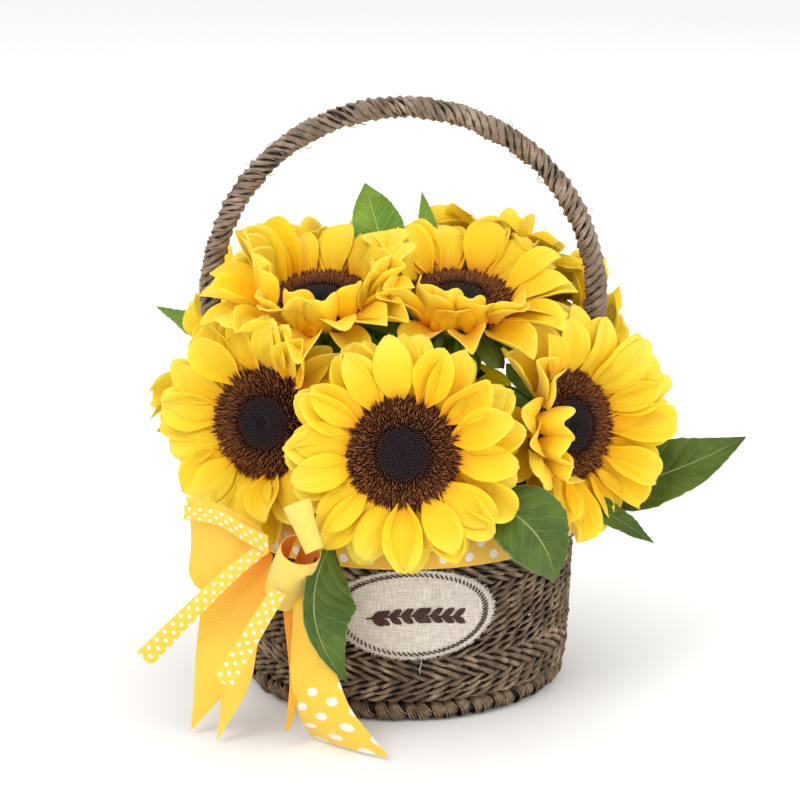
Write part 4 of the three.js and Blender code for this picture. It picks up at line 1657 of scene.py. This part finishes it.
@dataclass
class Leaf:
    """One leaf blade on a short stalk."""

    name: str
    rib: tuple[Triple, Triple, Triple]
    width: float
    face: Triple
    young: bool = False
    halves: tuple[float, float] = (1.0, 1.0)
    cup: float = 0.24
    ripple: float = 0.0011
    quilt: float = 0.0005
    side_veins: int = 8
    thickness: float = 0.0005
    stalk_radius: float = 0.0011

    WIDTHS = ((0.0, 0.06), (0.06, 0.36), (0.14, 0.68), (0.25, 0.92), (0.36, 1.0), (0.5, 0.95), (0.64, 0.78),
              (0.78, 0.52), (0.9, 0.24), (1.0, 0.015))

    def flat_blade(self) -> Shape:
        """The blade laid flat, 1 long along Y and 2 across at its widest."""
        rows = 30
        blade = Shape.added(bpy.ops.mesh.primitive_grid_add, x_subdivisions=10, y_subdivisions=rows, size=2)
        blade.edit()
        bpy.ops.mesh.select_all(action="SELECT")
        bpy.ops.transform.resize(value=(1, 0.5, 1), center_override=(0, 0, 0))
        bpy.ops.transform.translate(value=(0, 0.5, 0))
        for i in range(rows + 1):
            row = i / rows
            blade.pick(lambda place, row=row: abs(place.y - row) < 0.01)
            tooth = 1.0 + (0.012 if i % 2 else -0.008) * (0.1 < row < 0.95)
            width = profile(self.WIDTHS, row) * tooth
            bpy.ops.transform.resize(value=(width, 1, 1), center_override=(0, row, 0))
        blade.done()
        return blade

    def build(self, finishes: Finishes) -> None:
        """Bends the blade along its rib, and makes and dresses the leaf."""
        base, middle, tip = (mm(point) for point in self.rib)
        look = Vector(self.face).normalized()
        half = self.width * MM / 2
        blade = self.flat_blade()
        phase = random.Random(self.name).uniform(0, 6)
        for vert in blade.obj.data.vertices:
            across, share = vert.co.x * self.halves[int(vert.co.x > 0)], vert.co.y
            place = base * (1 - share) ** 2 + middle * 2 * share * (1 - share) + tip * share ** 2
            along = ((middle - base) * (1 - share) + (tip - middle) * share).normalized()
            over = along.cross(look).normalized()
            out = over.cross(along)
            off = abs(across)
            bend = self.cup * off ** 1.4 * half
            ripple = self.ripple * off * math.sin(17 * share + phase + (2 if across > 0 else 0))
            veins = math.cos(TURN * self.side_veins * (share - 0.3 * off ** 0.8))
            lift = bend + ripple + self.quilt * off ** 0.5 * veins
            vert.co = place + over * across * half + out * lift
        blade.modify("SOLIDIFY", thickness=self.thickness, offset=0.0)
        start = (base - middle).normalized()
        run = [
            base - start * 0.004, base + start * 0.008 - look * 0.001, base + start * 0.016 - look * 0.003,
        ]
        stalk = tubes([run], self.stalk_radius, 1)
        leaf = joined([blade, stalk])
        finish = finishes.young if self.young else finishes.leaf
        slot = Slot.YOUNG_LEAF if self.young else Slot.LEAF
        publish(leaf.smooth(60), f"{self.name}_leaf_blade", finish, slot, f"{self.name}_leaf")


# --- Ribbons ------------------------------------------------------------------------------------


class RibbonKind(str, Enum):
    """The ribbons' finishes, by their names among the materials."""

    WIDE = "wide"
    TAIL = "tail"
    SHADED = "shaded"
    NARROW = "narrow"


@dataclass
class Ribbon:
    """A length of ribbon between two edges, each given by points in millimetres from end to end."""

    name: str
    node: str
    edges: tuple
    cut_width: float
    kind: RibbonKind = RibbonKind.WIDE
    held: Held = Held.HUNG
    rests_on: tuple[str, ...] = ()
    curl: float = 0.0
    notch: float = 0.0
    cut_share: float = 1.0
    # Distance from the knot end over which orange shade is painted.
    shaded: float = 0.0
    steps: int = 44
    columns: int = 10
    notch_start: float = 0.6

    def rows(self) -> list[list[Vector]]:
        """The grid of points, curled across and notched at the far end."""
        left = smooth_path([mm(pair[0]) for pair in self.edges], self.steps)
        right = smooth_path([mm(pair[1]) for pair in self.edges], self.steps)
        rows = []
        for i, (a, b) in enumerate(zip(left, right)):
            k = min(max(i, 1), self.steps - 1)
            along = ((left[k + 1] + right[k + 1]) - (left[k - 1] + right[k - 1])).normalized()
            out = along.cross(b - a).normalized()
            share = i / self.steps
            row = []
            for j in range(self.columns + 1):
                across = j / self.columns
                lift = self.curl * MM * math.sin(math.pi * across)
                place = a.lerp(b, across) + out * lift
                deep = max(0.0, share - self.notch_start) / (1 - self.notch_start)
                row.append(place - along * self.notch * MM * (1 - abs(2 * across - 1)) * deep)
            rows.append(row)
        return rows

    def build(self, finishes: Finishes) -> None:
        rows = self.rows()
        sheet = strip(rows, SHEET_THICKNESS)
        if self.shaded:
            # Painted orange shade, strongest at the knot end and gone at the shaded distance.
            knot_end = sum(rows[0], Vector()) / len(rows[0])
            sheet.graded("inside", lambda place: max(0.0, 1 - (place - knot_end).length / self.shaded))
        slot = Slot.NARROW_RIBBON if self.kind is RibbonKind.NARROW else Slot.WIDE_RIBBON
        finish = getattr(finishes, self.kind.value)
        piece = publish(sheet.smooth(FOLD_ANGLE), self.name, finish, slot, self.node)


def paint_inner_shade(shape: Shape, centre: Vector, axis: Vector) -> Shape:
    """Marks the side of a rolled sheet that faces the roll's axis, where orange shade is painted.

    Args:
        shape: The sheet.
        centre: A point on the axis.
        axis: The axis, one metre long.

    Returns:
        The sheet, with an attribute that is 1 on its inner side and 0 on its outer one, the mask of the
        painted shade.
    """
    mesh = shape.obj.data
    marks = mesh.attributes.new("inside", "FLOAT", "POINT")
    for vert, mark in zip(mesh.vertices, marks.data):
        out = vert.co - centre
        out -= axis * out.dot(axis)
        mark.value = 1.0 if vert.normal.dot(out) < 0 else 0.0
    return shape


@dataclass
class Bow:
    """The ribbons tied at the front left, and the band of ribbon round the rim."""

    band: tuple = ((95.0, 86.5), (95.2, 92), (94.6, 98), (94.0, 104), (93.4, 110))
    band_steps: int = 180
    band_cut: float = 0.024
    knot_at: Triple = (-48, -124, 118)
    knot_lean: float = 22.0
    knot_nod: float = 20.0
    knot_turns: float = 1.3
    knot_start: float = 0.9
    knot_radius: float = 5.1
    knot_length: float = 25.0
    knot_cut: float = 0.03
    loop_at: Triple = (-56, -113, 90)
    loop_axis: Triple = (0.34, -0.6, 1)
    loop_sweep: float = 5.9
    loop_width: float = 0.038
    loop_side: float = 0.0094
    loop_depth: float = 0.0086
    ribbons: tuple[Ribbon, ...] = (
        Ribbon("fan_loop_left", "bow_loop_left", (
            ((-70, -103, 101), (-70, -103, 110)), ((-86, -100, 86), (-89, -99, 121)),
            ((-101, -96, 76), (-103, -94, 124)), ((-108, -92, 84), (-109, -89, 123)),
            ((-105, -86, 89), (-106, -85, 121)), ((-90, -88, 94), (-90, -87, 118)),
            ((-74, -95, 103), (-74, -95, 109)),
        ), 38, held=Held.FOLDED, rests_on=("rim_band",), curl=2.0),
        Ribbon("tail_wide_left", "wide_tail_left", (
            ((-70, -104, 101), (-65, -107, 98)), ((-84, -103, 89), (-67, -109, 86)),
            ((-99, -102, 74), (-69, -111, 73)), ((-104, -101, 51), (-73, -113, 52)),
            ((-106, -100, 24), (-78, -114, 30)), ((-108, -100, 2), (-94, -113, 2)),
        ), 36, notch=22.0, curl=-1.5, shaded=0.055, rests_on=("knot_roll",)),
        Ribbon("tail_wide_centre", "wide_tail_centre", (
            ((-56, -110, 83), (-50, -112, 85)), ((-55, -112, 69), (-46, -117, 73)),
            ((-56, -114, 51), (-40, -120, 57)), ((-56, -116, 33), (-33, -124, 41)),
            ((-52, -114, 15), (-25, -131, 24)), ((-46, -108, 2), (-7, -138, 3)),
        ), 28, RibbonKind.TAIL, curl=1.5, rests_on=("knot_roll",)),
        # This tail takes the shaded copy of the plain ribbon, which is painted shade.
        Ribbon("tail_thin_centre", "thin_tail_centre", (
            ((-61, -107, 80), (-55, -108, 79)), ((-59, -109, 59), (-53, -110, 59)),
            ((-57, -113, 37), (-52, -113, 36)), ((-58, -119, 19), (-55, -119, 18)),
            ((-59, -123, 11), (-58, -123, 10)),
        ), 10, RibbonKind.SHADED, curl=0.6, cut_share=0.55, rests_on=("knot_roll",)),
        Ribbon("loop_narrow_left", "narrow_loop_left", (
            ((-110, -90, 119), (-110, -97, 114)), ((-92, -98, 119), (-92, -105, 113)),
            ((-78, -105, 113), (-78, -111, 106)), ((-67, -112, 110), (-67, -115, 101)),
        ), 10, RibbonKind.NARROW, Held.FOLDED, curl=0.6, rests_on=("fan_loop_left",)),
        Ribbon("tail_narrow_left", "narrow_tail_left", (
            ((-69, -110, 107), (-66, -112, 102)), ((-87, -112, 94), (-82, -114, 89)),
            ((-109, -112, 73), (-103, -113, 67)), ((-134, -108, 47), (-126, -110, 41)),
        ), 10, RibbonKind.NARROW, curl=0.6, rests_on=("knot_roll",)),
        Ribbon("tail_narrow_centre", "narrow_tail_centre", (
            ((-65, -122, 86), (-58, -124, 83)), ((-76, -125, 70), (-68, -127, 66)),
            ((-94, -128, 42), (-85, -130, 36)),
        ), 10, RibbonKind.NARROW, curl=0.6, rests_on=("knot_roll",)),
    )

    def build(self, finishes: Finishes) -> None:
        """Makes and dresses every ribbon piece."""
        self.rim_band(finishes)
        self.knot(finishes)
        self.front_loop(finishes)
        for ribbon in self.ribbons:
            ribbon.build(finishes)

    def rim_band(self, finishes: Finishes) -> None:
        """The ribbon all round the rim, a little wavy at its upper edge."""
        rows = []
        last = len(self.band) - 1
        for i in range(self.band_steps):
            angle = TURN * i / self.band_steps
            row = []
            for k, (radius, height) in enumerate(self.band):
                wave = 0.5 * k / last * math.sin(9 * angle) + 0.3 * k / last * math.sin(23 * angle + 1)
                reach = (radius + wave) * MM
                row.append(Vector((reach * math.sin(angle), -reach * math.cos(angle), height * MM)))
            rows.append(row)
        sheet = strip(rows, SHEET_THICKNESS, wraps=True)
        piece = publish(sheet.smooth(FOLD_ANGLE), "rim_band", finishes.band, Slot.WIDE_RIBBON, "ribbon_band")

    def knot(self, finishes: Finishes) -> None:
        """The roll of ribbon that gathers the bow, wider at its upper end and open at both."""
        lean = (
            Matrix.Rotation(math.radians(-self.knot_lean), 4, "Y")
            @ Matrix.Rotation(math.radians(-self.knot_nod), 4, "X")
        )
        place = Matrix.Translation(mm(self.knot_at)) @ lean
        rows = []
        steps, columns = 40, 12
        for i in range(steps + 1):
            share = i / steps
            angle = TURN * self.knot_turns * share + self.knot_start
            row = []
            for k in range(columns + 1):
                end = k / columns - 0.5
                reach = self.knot_radius + 2.4 * end + 0.9 * end * end + 0.7 * share
                point = (reach * math.cos(angle), reach * math.sin(angle), end * self.knot_length)
                row.append(place @ mm(point))
            rows.append(row)
        # The roll takes the lit copy of the plain ribbon, which is painted light, with painted orange shade
        # on its inner side.
        roll = paint_inner_shade(strip(rows, SHEET_THICKNESS), mm(self.knot_at), lean @ Vector((0, 0, 1)))
        piece = publish(roll.smooth(FOLD_ANGLE), "knot_roll", finishes.pale, Slot.WIDE_RIBBON, "bow_knot")

    def front_loop(self, finishes: Finishes) -> None:
        """The loop that stands out to the front, a barrel that opens upwards."""
        centre = mm(self.loop_at)
        axis = Vector(self.loop_axis).normalized()
        side = (Vector((1, 0, 0)) - axis * axis.x).normalized()
        depth = axis.cross(side)
        rows = []
        steps, columns = 48, 14
        for i in range(steps + 1):
            angle = (i / steps - 0.5) * self.loop_sweep - math.pi / 2
            row = []
            for k in range(columns + 1):
                end = k / columns - 0.5
                ruffle = 0.03 * math.sin(3 * angle + 4 * end)
                flare = 1.0 + 0.16 * end + 0.1 * math.cos(math.pi * end) + ruffle
                out = side * self.loop_side * math.cos(angle) + depth * self.loop_depth * math.sin(angle)
                row.append(centre + axis * end * self.loop_width + out * flare)
            rows.append(row)
        # The loop takes the lit copy of the plain ribbon, which is painted light, with painted orange shade
        # on its inner side.
        barrel = paint_inner_shade(strip(rows, SHEET_THICKNESS), centre, axis)
        piece = publish(barrel.smooth(FOLD_ANGLE), "front_loop", finishes.pale, Slot.WIDE_RIBBON,
                        "bow_loop_front")


# --- Patch --------------------------------------------------------------------------------------


@dataclass
class Patch:
    """The oval linen patch with its stitched border, frayed edge and a plain sprig."""

    x: float = 5.0
    z: float = 61.5
    half_length: float = 43.0
    half_height: float = 24.0
    wall_radii: tuple[float, float] = (88.2, 91.8)
    wall_foot: float = 12.4
    wall_height: float = 71.3
    cloth_rings: int = 7
    cloth_lift: float = 1.5
    cloth_thickness: float = 0.0006
    border_stitches: int = 88
    sprig_half: float = 24.0
    sprig_leaves: int = 9
    leaf_stitches: int = 6
    leaf_length: float = 7.6
    thread_radius: float = 0.00042
    frayed_threads: int = 420
    frayed_radius: float = 0.00017
    seed: int = 21

    def on_wall(self, x: float, z: float, lift: float) -> Vector:
        """A point on the wall's face.

        Args:
            x: Distance round the wall from its front, in millimetres.
            z: Height in millimetres.
            lift: Distance out from the wall in millimetres.

        Returns:
            The point in metres.
        """
        share = (z - self.wall_foot) / self.wall_height
        reach = between(*self.wall_radii, share) + lift
        turn = x / reach
        return mm((reach * math.sin(turn), -reach * math.cos(turn), z))

    def oval(self, angle: float, scale: float = 1.0) -> tuple[float, float]:
        """A point round the oval: its x and z in millimetres."""
        return (
            self.x + self.half_length * scale * math.cos(angle),
            self.z + self.half_height * scale * math.sin(angle),
        )

    def build(self, finishes: Finishes) -> None:
        rng = random.Random(self.seed)
        cloth = self.cloth(finishes)
        sewn = publish(self.stitches(rng), "patch_stitches", finishes.thread, Slot.LINEN)
        frayed = publish(self.fringe(rng), "patch_fringe", finishes.fringe, Slot.LINEN)

    def cloth(self, finishes: Finishes) -> bpy.types.Object:
        """The cloth, bent to the wall in rings from its middle."""
        disc = Shape.added(bpy.ops.mesh.primitive_circle_add, vertices=96, radius=1.0, fill_type="NGON")
        disc.edit("FACE")
        bpy.ops.mesh.select_all(action="SELECT")
        for _ in range(self.cloth_rings):
            bpy.ops.mesh.inset(thickness=0.12, depth=0.0)
        bpy.ops.mesh.poke()
        disc.done()
        mesh = disc.obj.data
        layer = mesh.uv_layers[0] if mesh.uv_layers else mesh.uv_layers.new(name="UVMap")
        layer.name = "UVMap"
        for loop in mesh.loops:
            place = mesh.vertices[loop.vertex_index].co
            layer.data[loop.index].uv = (place.x * self.half_length * MM, place.y * self.half_height * MM)
        for vert in mesh.vertices:
            x, z = self.x + vert.co.x * self.half_length, self.z + vert.co.y * self.half_height
            soft = noise.noise(Vector((x * 0.09, z * 0.09, 3.0))) * 0.7
            vert.co = self.on_wall(x, z, self.cloth_lift + soft * (1 - vert.co.xy.length * 0.5))
        disc.face_out()
        disc.modify("SOLIDIFY", thickness=self.cloth_thickness, offset=0.0)
        return publish(disc.smooth(60), "patch_cloth", finishes.linen, Slot.LINEN, "linen_patch")

    def stitches(self, rng: random.Random) -> Shape:
        """The slanted border stitches and a sprig of leaves in the middle."""
        paths = []
        for i in range(self.border_stitches):
            angle = TURN * i / self.border_stitches
            inner = self.oval(angle + rng.uniform(-0.006, 0.006), 0.865)
            outer = self.oval(angle + 0.07, 0.935)
            middle = ((inner[0] + outer[0]) / 2, (inner[1] + outer[1]) / 2)
            paths.append([self.on_wall(*inner, 1.7), self.on_wall(*middle, 2.5), self.on_wall(*outer, 1.7)])
        shares = (t / 16 for t in range(17))
        stem = [
            (self.x + self.sprig_half * (2 * share - 1), self.z - 2.6 + 2.2 * math.sin(share * math.pi))
            for share in shares
        ]
        paths.append([self.on_wall(x, z, 2.3) for x, z in stem])
        for i in range(self.sprig_leaves):
            x, z = stem[1 + int(i * 1.75)]
            for side in (1, -1):
                for k in range(self.leaf_stitches):
                    off = k - (self.leaf_stitches - 1) / 2
                    spread = side * (0.55 + 0.1 * off)
                    reach = self.leaf_length - 0.9 * abs(off)
                    tip = (x + reach * math.cos(spread), z + reach * math.sin(spread))
                    half = ((x + tip[0]) / 2, (z + tip[1]) / 2 + 0.25 * off * side)
                    paths.append([self.on_wall(x, z, 1.9), self.on_wall(*half, 2.6), self.on_wall(*tip, 1.8)])
        return tubes(paths, self.thread_radius, 1).smooth()

    def fringe(self, rng: random.Random) -> Shape:
        """The frayed threads of the cut edge, and one that hangs down."""
        paths = []
        for i in range(self.frayed_threads):
            angle = TURN * (i + rng.random()) / self.frayed_threads
            inner = self.oval(angle, rng.uniform(0.95, 0.99))
            outer = self.oval(angle + rng.uniform(-0.06, 0.06), rng.uniform(1.0, 1.045))
            lift = rng.uniform(1.2, 2.6)
            middle = ((inner[0] + outer[0]) / 2, (inner[1] + outer[1]) / 2)
            paths.append([self.on_wall(*inner, 1.7), self.on_wall(*middle, 1.9), self.on_wall(*outer, lift)])
        x, z = self.oval(-1.48, 0.99)
        sways = [(t, math.sin(t)) for t in range(7)]
        paths.append([self.on_wall(x + 0.5 * sway, z - 1.5 * t, 1.8 + 0.3 * sway) for t, sway in sways])
        return tubes(paths, self.frayed_radius, 0).smooth()


# --- Studio -------------------------------------------------------------------------------------


@dataclass
class Studio:
    """A pale floor, soft light and the camera."""

    distance: float = 1.5
    elevation: float = 15.0
    target: Triple = (-0.0016, 0.0, 0.1495)
    lens: float = 127.36
    sensor: float = 36.0
    world: float = 0.95
    floor_size: float = 60.0
    floor_colour: Colour = (0.96, 0.96, 0.96)
    lights: tuple[tuple[str, Triple, float, float], ...] = (
        ("key", (-0.9, -1.3, 1.7), 1.0, 14.0),
        ("fill", (1.3, -1.1, 0.8), 1.2, 7.0),
        ("back", (0.3, 1.4, 1.5), 1.2, 9.0),
    )

    def build(self) -> None:
        """Sets all of it up."""
        scene = bpy.context.scene
        scene.view_settings.view_transform = "Standard"
        world = bpy.data.worlds.new("studio")
        world.use_nodes = True
        background = world.node_tree.nodes["Background"]
        background.inputs["Color"].default_value = (1.0, 1.0, 1.0, 1.0)
        background.inputs["Strength"].default_value = self.world
        scene.world = world
        floor = Shape.added(bpy.ops.mesh.primitive_plane_add, size=self.floor_size)
        floor.obj.name = "floor"
        material, _, shader = principled("floor_pale", Roughness=0.9, Specular_IOR_Level=0.1)
        shader.inputs["Base Color"].default_value = (*self.floor_colour, 1.0)
        floor.obj.data.materials.append(material)
        for light in self.lights:
            self.light(*light)
        camera = bpy.data.cameras.new("camera")
        camera.lens = self.lens
        camera.sensor_width = self.sensor
        eye = bpy.data.objects.new("camera", camera)
        rise = math.radians(self.elevation)
        back = Vector((0, -math.cos(rise), math.sin(rise)))
        eye.location = Vector(self.target) + back * self.distance
        eye.rotation_euler = (-back).to_track_quat("-Z", "Y").to_euler()
        scene.collection.objects.link(eye)
        scene.camera = eye

    def light(self, name: str, at: Triple, size: float, power: float) -> None:
        """A square soft light that looks at the basket.

        Args:
            name: Its name.
            at: Its place.
            size: The length of its side.
            power: Its power in watts.
        """
        data = bpy.data.lights.new(name, "AREA")
        data.size = size
        data.energy = power
        lamp = bpy.data.objects.new(name, data)
        lamp.location = at
        lamp.rotation_euler = (Vector(self.target) - Vector(at)).to_track_quat("-Z", "Y").to_euler()
        bpy.context.scene.collection.objects.link(lamp)


# --- Assembly -----------------------------------------------------------------------------------

FLOWERS = (
    Sunflower("front", (0, -98, 148), 0, 14, over=("left", "right", "upper_left", "upper_right")),
    Sunflower("left", (-71, -62, 154), -26, 10, folds=(Fold(0, 60, -12, 0.9, 3), Fold(280, 60, 24, 0.85, 2)),
              over=("front",)),
    Sunflower("right", (87, -45, 148), 40, 12, folds=(Fold(180, 84, 66), Fold(180, 64, 54, layers=2)),
              over=("front",)),
    Sunflower("upper_left", (-44, -32, 211), -14, 70, lift=14,
              folds=(Fold(200, 52, 62, 0.95), Fold(268, 45, 60, 0.85, 2), Fold(336, 55, 62, 0.95)),
              over=("front", "left")),
    Sunflower("upper_right", (29, -24, 210), 6, 70, lift=14,
              folds=(Fold(240, 80, 62, 0.86), Fold(262, 55, 54, 0.75, 2)),
              over=("front", "right")),
    Sunflower("back_right", (104, 45, 163), 88, 22),
    Sunflower("back_left", (-100, 45, 163), -88, 22),
    Sunflower("back_middle", (2, 96, 150), 180, 14),
    Sunflower("back_upper_right", (52, 56, 204), 150, 46),
    Sunflower("back_upper_left", (-42, 56, 196), -150, 46),
)

LEAVES = (
    Leaf("right_large", ((96, -10, 98), (146, -13, 112), (181, -10, 132)), 36, (-0.3, -0.75, 0.6)),
    Leaf("right_narrow", ((90, -50, 112), (112, -47, 98), (131, -40, 83)), 13, (0.3, -0.8, 0.5)),
    Leaf("front_right", ((43, -88, 121), (73, -111, 114), (77, -82, 75)), 39, (0.3, -0.9, 0.35)),
    Leaf("front_left", ((-35, -101, 104), (-57, -143, 79), (-28, -124, 37)), 42, (0.75, -1, 0.05),
         halves=(1.1, 0.36)),
    Leaf("top", ((-7, 0, 222), (-16, 19, 246), (-20, 22, 262)), 27, (0.1, -0.9, 0.4), young=True),
    Leaf("top_sliver", ((16, 12, 222), (13, 22, 240), (10, 29, 256)), 10, (0, -0.9, 0.3), young=True),
    Leaf("left_pale", ((-84, 22, 168), (-110, 31, 182), (-133, 40, 191)), 18, (0, -0.5, 0.85), young=True),
    Leaf("back_right", ((60, 62, 116), (88, 92, 112), (108, 118, 92)), 32, (0.4, 0.5, 0.75)),
    Leaf("back_left", ((-56, 66, 116), (-82, 96, 114), (-102, 122, 98)), 30, (-0.4, 0.5, 0.75)),
    Leaf("back_hanging", ((18, 88, 108), (26, 116, 84), (20, 108, 46)), 30, (0.1, 1, 0.2)),
)


def main() -> None:
    """Builds everything in order."""
    logging.basicConfig(level=logging.INFO, format="%(message)s")
    Studio().build()
    finishes = Finishes()
    Basket().build(finishes)
    handle = Handle()
    handle.build(finishes)
    line = handle.centreline()
    stock = FlowerStock()
    for flower in FLOWERS:
        flower.build(stock, FLOWERS, line, finishes)
    stock.remove()
    for leaf in LEAVES:
        leaf.build(finishes)
    Bow().build(finishes)
    Patch().build(finishes)


if __name__ == "__main__":
    main()
